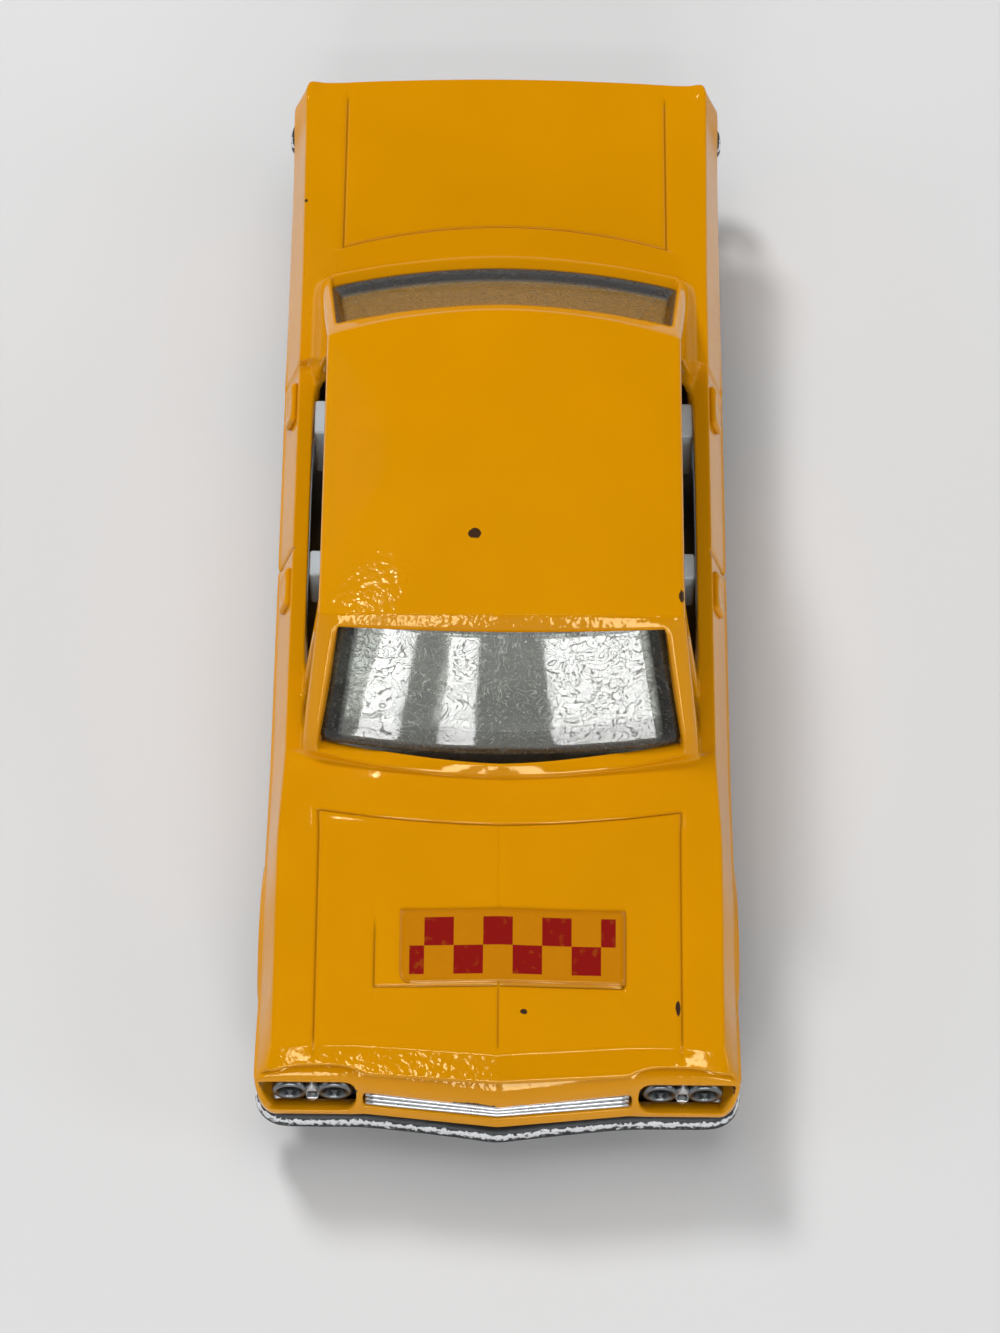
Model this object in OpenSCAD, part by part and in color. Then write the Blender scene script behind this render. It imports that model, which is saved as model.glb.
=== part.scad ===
// Pocket-size die-cast toy taxi: painted body casting, metal base with bumpers and grille, clear window
// moulding, seat moulding, two pin axles, four plastic wheels and a hood label.
// Millimetres. +Z is up, the nose points along -Y and the wheels stand on Z = 0.

/* [Length] */
// How far the front bumper stands ahead of the nose
front_bumper_reach = 0.4; // [0.2:0.05:1]
// Nose, from its lip back to the front crease of the hood
nose_l = 2.3; // [1.8:0.1:3]
// Hood, from its front crease to its rear seam
hood_l = 14.5; // [12:0.1:17]
// Cowl, from the hood's rear seam to the foot of the windscreen
cowl_l = 3.9; // [3.4:0.1:5]
// Cabin, from the foot of the windscreen to the foot of the rear window
cabin_l = 37.8; // [35:0.1:41]
// Shelf between the rear window and the trunk lid's seam
shelf_l = 3.3; // [2:0.1:5]
// Trunk lid, from its seam to the tail
trunk_l = 12.9; // [10:0.1:16]
// How far the rear bumper stands behind the tail
rear_bumper_reach = 1.4; // [1:0.05:1.8]
// Front bumper's tip to the front axle
front_overhang = 12.9; // [12:0.1:14]
// Front axle to rear axle
wheelbase = 43.1; // [40:0.1:46]

/* [Width] */
// Across the widest crease of the body sides at nose and tail
body_w = 29.6; // [27:0.1:33]
// How far the crease lies inside that width at the doors
door_tuck = 0.3; // [0.1:0.05:0.5]
// How far the lower edges of the sides lie inside it
sill_tuck = 0.8; // [0.4:0.05:1]
// How far the shoulder creases lie inside it along the hood
hood_shoulder_tuck = 1.05; // [0.8:0.05:1.4]
// How far the shoulder creases lie inside it at the doors
door_shoulder_tuck = 1.35; // [1:0.05:1.6]
// How far the shoulder creases lie inside it at the tail
tail_shoulder_tuck = 1; // [0.7:0.05:1.4]
// How far the window sills lie inside it
cabin_tuck = 2.3; // [2:0.05:2.6]
// How far the edges of the roof lie inside the window sills
roof_tuck = 1.25; // [0.8:0.05:1.8]

/* [Height] */
// Underside of the base above the ground
base_z = 2.8; // [2.4:0.1:3.1]
// Lower edge of the body sides
sill_z = 3.4; // [3:0.1:3.8]
// Lower edge of the nose, over the front bumper
nose_lip_z = 4.9; // [4.6:0.1:5.1]
// Lower edge of the tail, over the rear bumper
tail_lip_z = 7.7; // [7.3:0.1:8]
// Shoulder crease at the nose
front_shoulder_z = 9.7; // [9.3:0.1:10.2]
// Shoulder crease at the cowl
cowl_shoulder_z = 11.5; // [11:0.1:12]
// Shoulder crease beside the rear window
rear_shoulder_z = 12.1; // [11.6:0.1:12.6]
// Shoulder crease at the tail
tail_shoulder_z = 12.4; // [12:0.1:12.8]
// Middle of the hood at its front crease
hood_front_z = 10.1; // [9.8:0.1:10.6]
// Middle of the hood at its rear seam
hood_rear_z = 12.2; // [11.8:0.1:12.6]
// Foot of the windscreen
screen_foot_z = 12.6; // [12.2:0.1:13]
// Foot of the rear window
backlight_foot_z = 13.1; // [12.7:0.1:13.5]
// Middle of the trunk lid at the tail
deck_rear_z = 12.2; // [11.8:0.1:12.6]
// Top of the doors, under the side windows
ledge_z = 11.5; // [11.1:0.1:11.9]
// Edge of the roof
roof_edge_z = 19.6; // [18.8:0.1:20.6]
// Rise of the roof from its edge to its middle
roof_crown = 0.9; // [0.4:0.1:1.4]

/* [Form] */
// How far the nose runs to a point at its middle
nose_point = 1; // [0.6:0.1:1.4]
// How far the tail bows out at its middle
tail_bow = 0.7; // [0.3:0.1:1.2]
// Radius of the body's corners in plan
corner_r = 1; // [0.8:0.1:1.4]
// Length that the windscreen leans back over
screen_run = 6.3; // [5.6:0.1:7]
// Length that the rear window leans forward over
backlight_run = 8.2; // [7.4:0.1:9]
// How far the windscreen's foot bows forward at its middle
screen_bow = 1.6; // [1:0.1:2]
// How far the rear window bows back at its middle
backlight_bow = 1.8; // [1.2:0.1:2.2]
// How far the roof's front edge bows forward
roof_front_bow = 0.7; // [0.3:0.1:1.2]
// Height of the ridge along the middle of the hood
ridge_h = 0.16; // [0.05:0.01:0.3]
// How far the tail tucks in from the trunk's edge to the rear bumper
tail_undercut = 1.2; // [0.8:0.1:1.5]
// Length of a door handle
handle_l = 3.6; // [3:0.1:4.5]
// Height of a door handle
handle_h = 0.7; // [0.5:0.05:0.9]
// How far a door handle stands out
handle_out = 0.3; // [0.2:0.05:0.4]
// Door handle's depth under the shoulder crease
handle_drop = 0.9; // [0.7:0.05:1.2]
// Distance of the recessed panel in the tail from the body's sides
tail_panel_inset = 2.8; // [2.4:0.1:3.6]
// Depth of the recessed panel in the tail
tail_panel_depth = 0.4; // [0.3:0.05:0.5]
// Width of a tail lamp
tail_lamp_w = 3.4; // [2.8:0.1:4]
// Height of a tail lamp
tail_lamp_h = 1.4; // [1.1:0.1:1.6]

/* [Shell] */
// Wall of the body casting
wall = 1.1; // [0.9:0.05:1.2]
// Width of the windscreen pillars along the car
pillar_w = 1.3; // [1:0.1:1.6]
// Height of the rim under the windscreen
screen_rim_h = 0.3; // [0.2:0.05:0.5]
// Height of the rim over the windscreen
screen_header_h = 0.5; // [0.4:0.05:0.8]
// Height of the rim under the rear window
backlight_rim_h = 0.5; // [0.3:0.05:0.8]
// Height of the rim over the rear window
backlight_header_h = 0.75; // [0.5:0.05:1]
// Height of the rail between roof edge and side window
rail_h = 0.8; // [0.6:0.1:1.2]
// Width of the post behind the vent window
vent_post_w = 1; // [0.8:0.1:1.3]
// Distance of the vent post behind the foot of the windscreen pillar
vent_run = 4.8; // [4.4:0.1:5.2]
// Radius of the posts that the base is riveted to
post_r = 1.7; // [1.5:0.1:2]
// Radius of the rivet shank at a post's end
rivet_r = 1.1; // [0.9:0.1:1.3]
// Distance of the rivet posts from the uprights at nose and tail
post_gap = 1.3; // [0.8:0.1:1.8]
// Radius of the spun rivet head
rivet_head_r = 1.9; // [1.7:0.1:2.2]
// Height of the spun rivet head
rivet_head_h = 0.6; // [0.4:0.1:0.7]

/* [Wheels] */
// Wheel diameter
wheel_d = 9.2; // [8.8:0.1:9.6]
// Wheel width
wheel_w = 3.2; // [2.8:0.1:3.4]
// How far the outer face of a wheel lies inside the body's widest crease
wheel_tuck = 1.5; // [1.3:0.05:1.8]
// Axle diameter
axle_d = 1.5; // [1.3:0.1:1.7]
// Radius of the axle's formed heads
axle_head_r = 1.25; // [1.1:0.05:1.5]
// Height of the axle's formed heads
axle_head_h = 0.55; // [0.4:0.05:0.7]
// Depth of the dish in a wheel's outer face
hub_depth = 0.6; // [0.4:0.05:0.8]
// Rounding of a tyre's edges
tyre_round = 0.35; // [0.25:0.05:0.5]
// Gap between a wheel and its arch
arch_gap = 0.6; // [0.5:0.05:0.8]
// Width of the lip around a wheel arch
arch_lip_w = 0.55; // [0.4:0.05:0.7]
// How far the arch lip stands out from the widest crease
arch_lip_out = 0.12; // [0.06:0.02:0.3]

/* [Base] */
// Thickness of the base plate
plate_t = 0.9; // [0.8:0.05:1]
// Depth of the plain panel under the base
pad_t = 0.7; // [0.65:0.05:0.9]
// Length of the plain panel under the base
pad_l = 24; // [18:0.5:28]
// Width of the plain panel under the base
pad_w = 15; // [12:0.5:17]
// Height of the front bumper
bumper_h = 1.75; // [1.5:0.05:1.85]
// Depth of the bumpers from front to back
bumper_t = 1.3; // [1:0.05:1.6]
// Length of a bumper's end along the side
wrap_l = 1; // [0.6:0.1:1.6]
// Width of an axle bearing along its axle
bearing_w = 2.6; // [2:0.1:3.2]
// Length of an axle bearing along the car
bearing_l = 2.8; // [2.6:0.1:3.4]
// Thickness of the upright that carries lamps and grille
upright_t = 1; // [0.8:0.05:1.2]
// Depth of the lamps and grille under the face of the nose
lamp_sink = 0.35; // [0.25:0.05:0.6]
// Height of a grille bar
grille_bar_h = 0.22; // [0.16:0.02:0.28]
// How far the bumpers stand out from the body's widest crease
bumper_out = 0.2; // [0.1:0.05:0.5]
// Height of the rear bumper
rear_bumper_h = 1.9; // [1.6:0.05:2.2]
// Radius of a headlamp
lamp_r = 0.95; // [0.85:0.05:1]
// Height of the headlamp centres
lamp_z = 6.7; // [6.6:0.05:6.8]
// Distance of an outer headlamp's centre from the body's side
lamp_inset = 1.9; // [1.8:0.05:2.1]
// Distance between the centres of a pair of headlamps
lamp_pitch = 2.8; // [2.5:0.05:3]
// Height of the grille's slot
grille_h = 1.2; // [1:0.05:1.3]
// Distance of the grille's end from an inner headlamp's centre
grille_gap = 1.9; // [1.6:0.05:2.4]

/* [Windows and seats] */
// Thickness of the clear window moulding
glass_t = 0.6; // [0.45:0.05:0.65]
// Thickness of the seat moulding's floor
floor_t = 0.8; // [0.6:0.05:1]
// How far the ends of the seats lie inside the window sills
seat_tuck = 1.5; // [1.4:0.05:2.2]
// Distance of the rear seat ahead of the roof's rear edge
seat_setback = 0.4; // [0.2:0.1:1]
// Top of the seat backs
seat_top_z = 13; // [12.4:0.1:13.4]
// Top of the seat cushions
cushion_z = 8.6; // [8:0.1:9.2]
// Thickness of the seat backs at their tops
seat_back_t = 1.8; // [1.4:0.1:2.2]
// How far the seat backs lean
seat_lean = 1; // [0.6:0.1:1.4]
// Length of a bench from its back to its front edge
bench_l = 7.2; // [6.6:0.1:8]
// Rear face of the front bench
y_front_seat = -1.4; // [-2.4:0.1:-0.4]
// Length of the dashboard along the car
dash_l = 1.6; // [1.2:0.1:2]
// Depth of the window panes under the skin of the cabin
pane_sink = 0.3; // [0.2:0.05:0.5]
// Radius of the steering wheel's rim
rim_r = 0.28; // [0.22:0.02:0.34]
// Lean of the steering column, in degrees
steering_tilt = 35; // [25:1:45]
// Outer radius of the steering wheel
steering_r = 1.9; // [1.6:0.1:2.1]

/* [Label] */
// Length of the label across the hood
label_w = 13.8; // [11:0.1:15]
// Length of the label along the hood
label_l = 5.2; // [4.4:0.1:6]
// How far the label sits off the middle
label_x = 0.85; // [0:0.05:1.2]
// Thickness of the label film
label_t = 0.08; // [0.05:0.01:0.15]

/* [Fits] */
// Radial clearance of an axle in the base and in its wheels
axle_fit = 0.05; // [0.02:0.01:0.09]
// Gap between castings and mouldings that sit in each other
seat_gap = 0.15; // [0.1:0.01:0.3]
// Side play of a wheel on its axle
side_play = 0.3; // [0.25:0.01:0.4]
// Gap under the label film, filled by its adhesive
label_gap = 0.05; // [0.04:0.01:0.08]

/* [Hidden] */
$fn = 48;

// Colours of the finishes
paint_colour = "#e69a00";
metal_colour = "#5d6064";
clear_colour = "#c9d2d4";
seat_colour = "#dfe1e0";
steel_colour = "#b9bcc0";
wheel_colour = "#1d1d1f";
label_colour = "#a01010";

// Places along the car, from the bumper's tip to the rear bumper
overall_l = front_bumper_reach + nose_l + hood_l + cowl_l + cabin_l + shelf_l + trunk_l + rear_bumper_reach;
y_tip = -overall_l/2;
y_nose = y_tip + front_bumper_reach;
y_hood_front = y_nose + nose_l;
y_hood_rear = y_hood_front + hood_l;
y_screen = y_hood_rear + cowl_l;
y_backlight = y_screen + cabin_l;
y_deck_seam = y_backlight + shelf_l;
y_tail = y_deck_seam + trunk_l;
y_end = y_tail + rear_bumper_reach;
y_front_axle = y_tip + front_overhang;
y_rear_axle = y_front_axle + wheelbase;
y_roof_front = y_screen + screen_run;
y_roof_rear = y_backlight - backlight_run;

// Ends of the bumpers along the sides, and where the lower edges of nose and tail stand clear of them
y_front_wrap = y_tip + 3*bumper_t/2 + nose_point + wrap_l;
y_rear_wrap = y_end - 3*bumper_t/2 - tail_bow - wrap_l;
y_nose_lip = y_front_wrap + wall;
y_tail_lip = y_rear_wrap - wall;

// Widths that follow
door_w = body_w - 2*door_tuck;
sill_w = body_w - 2*sill_tuck;
front_shoulder_w = body_w - 2*hood_shoulder_tuck;
door_shoulder_w = body_w - 2*door_shoulder_tuck;
rear_shoulder_w = body_w - 2*tail_shoulder_tuck;
cabin_w = body_w - 2*cabin_tuck;
roof_w = cabin_w - 2*roof_tuck;
wheel_span = body_w - 2*wheel_tuck;
bumper_w = body_w + 2*bumper_out;
outer_lamps_w = body_w - 2*lamp_inset;
inner_lamps_w = outer_lamps_w - 2*lamp_pitch;
grille_w = inner_lamps_w - 2*grille_gap;
tail_panel_w = body_w - 2*tail_panel_inset;
seat_w = cabin_w - 2*seat_tuck;

// Heights and overruns that follow
wheel_r = wheel_d/2;
arch_r = wheel_r + arch_gap;
axle_r = axle_d/2;
plate_top_z = base_z + plate_t;
pad_z = base_z - pad_t;
overrun = wall;
crown_power = 2.4;
side_fn = 32;
wheel_fn = 72;

// Shares that shape the body casting
crease_share = 0.62;
lower_bulge_shares = [[0, 0], [0.35, 0.55], [0.7, 0.88], [1, 1]];
nose_shares = [[0, 0.06], [0.1, 0], [0.48, 0.07], [0.6, 0.13], [0.72, 0.34], [1, 1]];
tail_shares = [[0, 1], [0.15, 0.75], [0.5, 0.55], [0.9, 0.1], [1, 0]];
hood_bow_share = 0.55;
nose_sink_share = 0.1;
hub_share = 0.66;
label_share = 0.47;
nose_point_share = 0.57;
shoulder_round_share = 0.2;
across_shares = [-1, -0.95, -0.84, -0.7, -0.57, -0.43, -0.28, -0.14, 0,
                 0.14, 0.28, 0.43, 0.57, 0.7, 0.84, 0.95, 1];
along_shares = [0, 0.004, 0.009, 0.017, 0.04, 0.08, 0.12, 0.16, 0.2, 0.24, 0.28, 0.4, 0.5, 0.6, 0.72, 0.78,
                0.84, 0.9, 0.95, 0.98, 0.988, 0.995, 1];
up_shares = [0, 0.1, 0.3, 0.48, 0.62, 0.72, 0.86, 1];
hollow_across_shares = [-1, -0.9, -0.57, -0.28, 0, 0.28, 0.57, 0.9, 1];
hollow_along_shares = [0, 0.01, 0.03, 0.12, 0.22, 0.28, 0.5, 0.72, 0.8, 0.9, 0.97, 0.99, 1];
hollow_up_shares = [0, 0.3, 0.5, 0.68, 0.84, 1];
roof_across_shares = [-1, -0.94, -0.8, -0.55, -0.28, 0, 0.28, 0.55, 0.8, 0.94, 1];
roof_along_shares = [0, 0.06, 0.2, 0.5, 0.8, 0.94, 1];
roof_up_shares = [0, 0.3, 0.6, 0.9, 1];

function lerp(p, q, t) = p + (q - p)*t;
function rounded_off(d, r) = d >= r ? 0 : r - sqrt(max(0, r*r - pow(r - max(d, 0), 2)));

// Outline of the body: half widths, heights of its edges, and the skin of its top
function end_gap(y) = min(y - y_nose - nose_point, y_tail - tail_bow - y);
function crease_hw(y) =
    lookup(y, [[y_hood_front, body_w], [y_pillar_foot, door_w], [y_backlight, door_w], [y_tail, body_w]])/2
    - rounded_off(end_gap(y), corner_r);
function shoulder_hw(y) =
    lookup(y, [[y_hood_rear, front_shoulder_w], [y_pillar_foot, door_shoulder_w],
               [y_backlight, door_shoulder_w], [y_tail, rear_shoulder_w]])/2
    - rounded_off(end_gap(y), corner_r)*shoulder_round_share;
function sill_hw(y) = sill_w/2 - rounded_off(end_gap(y), corner_r);
function shoulder_z(y) =
    lookup(y, [[y_hood_front, front_shoulder_z], [y_hood_rear, cowl_shoulder_z],
               [y_backlight, rear_shoulder_z], [y_tail, tail_shoulder_z]]);
function deck_z(y) =
    lookup(y, [[y_hood_front, hood_front_z],
               [(y_hood_front + y_hood_rear)/2, lerp(hood_front_z, hood_rear_z, hood_bow_share)],
               [y_hood_rear, hood_rear_z], [y_screen, screen_foot_z], [y_backlight, backlight_foot_z],
               [y_tail, deck_rear_z]]);
function ridge_z(x, y) =
    y > y_hood_rear ? 0 : ridge_h*max(0, 1 - abs(x)/(grille_w/4))*min(1, (y_hood_rear - y)/cowl_l);
function top_z(x, y) =
    lerp(deck_z(y), shoulder_z(y), pow(min(1, abs(x)/shoulder_hw(y)), crown_power)) + ridge_z(x, y);
function bottom_z(y) =
    lookup(y, [[y_nose_lip, nose_lip_z], [y_nose_lip + wall, sill_z], [y_tail_lip - wall, sill_z],
               [y_tail_lip, tail_lip_z]]);
function side_hw(y, c) =
    c < crease_share ? lerp(sill_hw(y), crease_hw(y), lookup(c/crease_share, lower_bulge_shares))
                     : lerp(crease_hw(y), shoulder_hw(y), (c - crease_share)/(1 - crease_share));
function nose_y(a, c) = y_nose + nose_point*min(1, abs(a)/nose_point_share) + nose_l*lookup(c, nose_shares);
function tail_y(a, c) = y_tail - tail_bow*a*a - tail_undercut*lookup(c, tail_shares);

// A point of the body's skin: a runs across, b along and c up, and t is the depth under the skin
function foot_z(y, t) = t > 0 ? base_z - overrun : bottom_z(y);
function head_z(a, y) = top_z(a*shoulder_hw(y), y);
function level(a, y, c, t) =
    max(0, (lerp(foot_z(y, t), head_z(a, y) - t, c) - bottom_z(y))/(head_z(a, y) - bottom_z(y)));
function body_at(a, b, c, t) =
    let (y_near = lerp(y_nose, y_tail, b),
         l = level(a, y_near, c, t),
         y = lerp(nose_y(a, l) + t, tail_y(a, l) - t, b))
    [a*(side_hw(y, level(a, y, c, t)) - t), y, lerp(foot_z(y, t), head_z(a, y) - t, c)];

// A point of the cabin's skin, from under the window sills up to the roof, at the depth t under the skin
cabin_foot_z = min(ledge_z, cowl_shoulder_z) - overrun;
function rise(z, z_foot) = (z - z_foot)/(roof_edge_z - z_foot);
function lean(run, z_foot) = norm([run, roof_edge_z - z_foot])/(roof_edge_z - z_foot);
function screen_y(a, z, t) =
    lerp(y_screen + screen_bow*a*a, y_roof_front + roof_front_bow*a*a, rise(z, screen_foot_z))
    + t*lean(screen_run, screen_foot_z);
function backlight_y(a, z, t) =
    lerp(y_backlight, y_roof_rear, rise(z, backlight_foot_z)) - backlight_bow*a*a
    - t*lean(backlight_run, backlight_foot_z);
function roof_z(a, b) =
    roof_edge_z + roof_crown*(1 - pow(abs(a), crown_power))*(1 - pow(abs(2*b - 1), crown_power)/2);
function cabin_at(a, b, c, t) =
    let (z = lerp(cabin_foot_z, roof_edge_z - t, c))
    [a*(lerp(cabin_w, roof_w, rise(z, ledge_z))/2 - t), lerp(screen_y(a, z, t), backlight_y(a, z, t), b),
     lerp(cabin_foot_z, roof_z(a, b) - t, c)];

// A closed block whose skin is the image of a box of shares across, along and up
module mapped_block(at, across, along, up) {
    function sheet(us, vs, place) = [for (u = us) for (v = vs) place(u, v)];
    function cells(first, m, n, flip) =
        [for (i = [0:m - 2]) for (j = [0:n - 2])
            let (p = first + i*n + j, q = p + n)
            for (face = [[p, q, q + 1], [p, q + 1, p + 1]]) flip ? [face[2], face[1], face[0]] : face];
    low = across[0];
    high = across[len(across) - 1];
    near = along[0];
    far = along[len(along) - 1];
    foot = up[0];
    head = up[len(up) - 1];
    na = len(across);
    nb = len(along);
    nc = len(up);
    points = concat(sheet(across, along, function (u, v) at(u, v, foot)),
                    sheet(across, along, function (u, v) at(u, v, head)),
                    sheet(across, up, function (u, v) at(u, near, v)),
                    sheet(across, up, function (u, v) at(u, far, v)),
                    sheet(along, up, function (u, v) at(low, u, v)),
                    sheet(along, up, function (u, v) at(high, u, v)));
    faces = concat(cells(0, na, nb, false), cells(na*nb, na, nb, true),
                   cells(2*na*nb, na, nc, true), cells(2*na*nb + na*nc, na, nc, false),
                   cells(2*na*nb + 2*na*nc, nb, nc, false), cells(2*na*nb + 2*na*nc + nb*nc, nb, nc, true));
    polyhedron(points, faces);
}

module both_sides() {
    children();
    mirror([1, 0, 0]) children();
}

// Turns a flat outline in Y and Z into a bar of the given width across the car
module across_bar(width) {
    rotate([90, 0, 90]) translate([0, 0, -width/2]) linear_extrude(width) children();
}

// A round bar across the car, on the axle line at y
module axle_line(y, r, width) {
    translate([-width/2, y, wheel_r]) rotate([0, 90, 0]) cylinder(r = r, h = width);
}

module body_block() {
    mapped_block(function (a, b, c) body_at(a, b, c, 0), across_shares, along_shares, up_shares);
}

module body_hollow() {
    mapped_block(function (a, b, c) body_at(a, b, c, wall), hollow_across_shares, hollow_along_shares,
                 hollow_up_shares);
}

module cabin_block(t) {
    mapped_block(function (a, b, c) cabin_at(a, b, c, t), roof_across_shares, roof_along_shares,
                 roof_up_shares);
}

// Openings of the cabin: a band of the screen's own surface, cut through along the car
screen_edge_shares = [0.94, 0.9];
backlight_edge_shares = [0.95, 0.955];
screen_z = [screen_foot_z + screen_rim_h, roof_edge_z - screen_header_h];
backlight_z = [backlight_foot_z + backlight_rim_h, roof_edge_z - backlight_header_h];
pane_across_shares = [-1, -0.75, -0.5, -0.25, 0, 0.25, 0.5, 0.75, 1];
pane_up_shares = [0, 0.25, 0.5, 0.75, 1];
pane_share = 0.96;
function cabin_level(z) = (z - cabin_foot_z)/(roof_edge_z - cabin_foot_z);
module screen_cut(end, edges, heights, depth, share) {
    mapped_block(function (a, b, c)
                     let (z = lerp(heights[0], heights[1], lerp(1/2, c, share)))
                     cabin_at(a*share*lerp(edges[0], edges[1], c), end, cabin_level(z), 0)
                     + [0, lerp(-depth, depth, b), 0],
                 pane_across_shares, [0, 1], pane_up_shares);
}

// Side windows, as an outline in Y and Z: the main opening and the vent window ahead of its post
y_pillar_foot = y_screen + screen_bow;
y_vent_post = y_pillar_foot + vent_run;
y_ledge_rear = y_backlight - backlight_bow - 2*wall - backlight_run/2;
window_top_z = roof_edge_z - rail_h;
rear_pillar_lean = backlight_run/3;
module side_window_outline() {
    polygon([[y_vent_post + vent_post_w, ledge_z], [y_ledge_rear, ledge_z],
             [y_ledge_rear - rear_pillar_lean, window_top_z], [y_vent_post + vent_post_w, window_top_z]]);
    polygon([[y_pillar_foot + pillar_w, ledge_z], [y_vent_post, ledge_z],
             [y_vent_post, window_top_z - wall]]);
}

// The door tops, a ledge cut into the shoulders between cowl and rear fender
module door_ledges() {
    both_sides()
        translate([cabin_w/2 - wall, y_pillar_foot, ledge_z])
            cube([body_w/2, y_ledge_rear + wall - y_pillar_foot, roof_edge_z]);
}

// Openings in the nose for the paired headlamps and the grille
lamp_margin = seat_gap;
module nose_openings() {
    depth = nose_l + nose_point + wall;
    translate([0, y_tip, 0]) rotate([90, 0, 0]) mirror([0, 0, 1]) {
        both_sides()
            hull()
                for (x = [body_w/2, inner_lamps_w/2])
                    translate([x, lamp_z]) cylinder(r = lamp_r + lamp_margin, h = depth, $fn = side_fn);
        translate([-grille_w/2, lamp_z - grille_h/2, 0]) cube([grille_w, grille_h, depth]);
    }
}

// Raised handle on a door, and the raised lip around a wheel arch
module door_handle(y) {
    z = shoulder_z(y) - handle_drop;
    upper_side_h = (shoulder_z(y) - bottom_z(y))*(1 - crease_share);
    x = lerp(shoulder_hw(y), crease_hw(y), handle_drop/upper_side_h);
    hull()
        for (end = [-1, 1])
            translate([x - handle_out, y + end*(handle_l - handle_h)/2, z])
                rotate([0, 90, 0]) cylinder(d = handle_h, h = 2*handle_out, $fn = side_fn);
}

module arch_lip(y) {
    intersection() {
        difference() {
            axle_line(y, arch_r + arch_lip_w, body_w + 2*arch_lip_out);
            axle_line(y, arch_r, body_w + 4*arch_lip_out);
            axle_line(y, arch_r + 2*arch_lip_w, sill_w - 2*wall);
        }
        translate([-body_w, y - body_w/2, wheel_r - arch_lip_w]) cube([2*body_w, body_w, roof_edge_z]);
    }
}

// Depth of the upright under the skin of the nose, and the apron's place under the tail
upright_depth = wall + seat_gap + nose_l*nose_sink_share;
y_apron = y_rear_wrap - seat_gap;

// Rivet posts under the hood and under the trunk lid
y_front_post = y_nose + upright_depth + upright_t + post_gap + post_r;
y_rear_post = y_apron - post_gap - post_r;
module rivet_post(y) {
    post_top_z = top_z(0, y) - wall/2;
    translate([0, y, plate_top_z]) cylinder(r = post_r, h = post_top_z - plate_top_z);
    translate([0, y, base_z - rivet_head_h]) cylinder(r = rivet_r, h = plate_top_z - base_z + rivet_head_h);
    translate([0, y, base_z]) mirror([0, 0, 1]) cylinder(r1 = rivet_head_r, r2 = rivet_r, h = rivet_head_h);
}

// Recess in the tail with two raised lamps on each side
tail_panel_up_shares = [0.22, 0.4, 0.6, 0.78];
function tail_panel_y(x) = tail_y(2*x/body_w, crease_share) - tail_panel_depth;
module tail_panel() {
    mapped_block(function (a, b, c)
                     let (y = tail_y(a*tail_panel_w/body_w, c))
                     [a*tail_panel_w/2, y + lerp(-tail_panel_depth, overrun, b),
                      lerp(tail_lip_z, deck_rear_z, c)],
                 pane_across_shares, [0, 1], tail_panel_up_shares);
}
module tail_lamps() {
    z = lerp(tail_lip_z, deck_rear_z, (tail_panel_up_shares[0] + tail_panel_up_shares[3])/2) - tail_lamp_h/2;
    both_sides()
        for (k = [1, 2]) {
            x = tail_panel_w/2 - k*(tail_lamp_w + handle_h);
            translate([x, tail_panel_y(x + tail_lamp_w) - wall/2, z])
                cube([tail_lamp_w, wall/2 + tail_panel_depth, tail_lamp_h]);
        }
}

y_front_handle = (y_vent_post + y_ledge_rear)/2 - handle_l;
y_rear_handle = y_ledge_rear - handle_l/4;
module body_shell() {
    color(paint_colour) {
        difference() {
            union() {
                difference() {
                    body_block();
                    door_ledges();
                }
                cabin_block(0);
                both_sides() for (y = [y_front_handle, y_rear_handle]) door_handle(y);
                arch_lip(y_front_axle);
            }
            body_hollow();
            cabin_block(wall);
            across_bar(2*body_w) side_window_outline();
            screen_cut(0, screen_edge_shares, screen_z, 3*wall, 1);
            screen_cut(1, backlight_edge_shares, backlight_z, 3*wall, 1);
            nose_openings();
            tail_panel();
            for (y = [y_front_axle, y_rear_axle]) axle_line(y, arch_r, 2*body_w);
        }
        for (y = [y_front_post, y_rear_post]) rivet_post(y);
        tail_lamps();
    }
}

// A bar swept along a plan path, its cross-section given across and up
section_shares = [[-1, -0.7], [-0.7, -1], [0.6, -1], [1, -0.6], [1, 0.6], [0.6, 1], [-0.7, 1], [-1, 0.7]];
module swept_bar(path, z, thickness, height) {
    n = len(path);
    m = len(section_shares);
    function along(i) = let (d = path[min(i + 1, n - 1)] - path[max(i - 1, 0)]) d/norm(d);
    points = [for (i = [0:n - 1]) let (d = along(i)) for (s = section_shares)
                 [path[i][0] - d[1]*s[0]*thickness/2, path[i][1] + d[0]*s[0]*thickness/2, z + s[1]*height/2]];
    sides = [for (i = [0:n - 2]) for (k = [0:m - 1])
                let (p = i*m + k, q = i*m + (k + 1)%m) for (f = [[q + m, q, p], [p + m, q + m, p]]) f];
    ends = [[for (k = [0:m - 1]) k], [for (k = [m - 1:-1:0]) (n - 1)*m + k]];
    polyhedron(points, concat(sides, ends));
}

// Half of a bumper's path from its middle round one corner, given the sign that turns it to the rear
bend_shares = [0, 0.25, 0.5, 0.75, 1];
function half_path(y_middle, y_corner, turn) =
    let (hw = (bumper_w - bumper_t)/2, flat = hw - bumper_t)
    concat([[0, y_middle], [flat*nose_point_share, y_corner]],
           [for (s = bend_shares) [flat + bumper_t*sin(90*s), y_corner + turn*bumper_t*(1 - cos(90*s))]],
           [[hw, y_corner + turn*(bumper_t + wrap_l)]]);
function full_path(half) =
    concat([for (i = [len(half) - 1:-1:1]) [-half[i][0], half[i][1]]], half);

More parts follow.
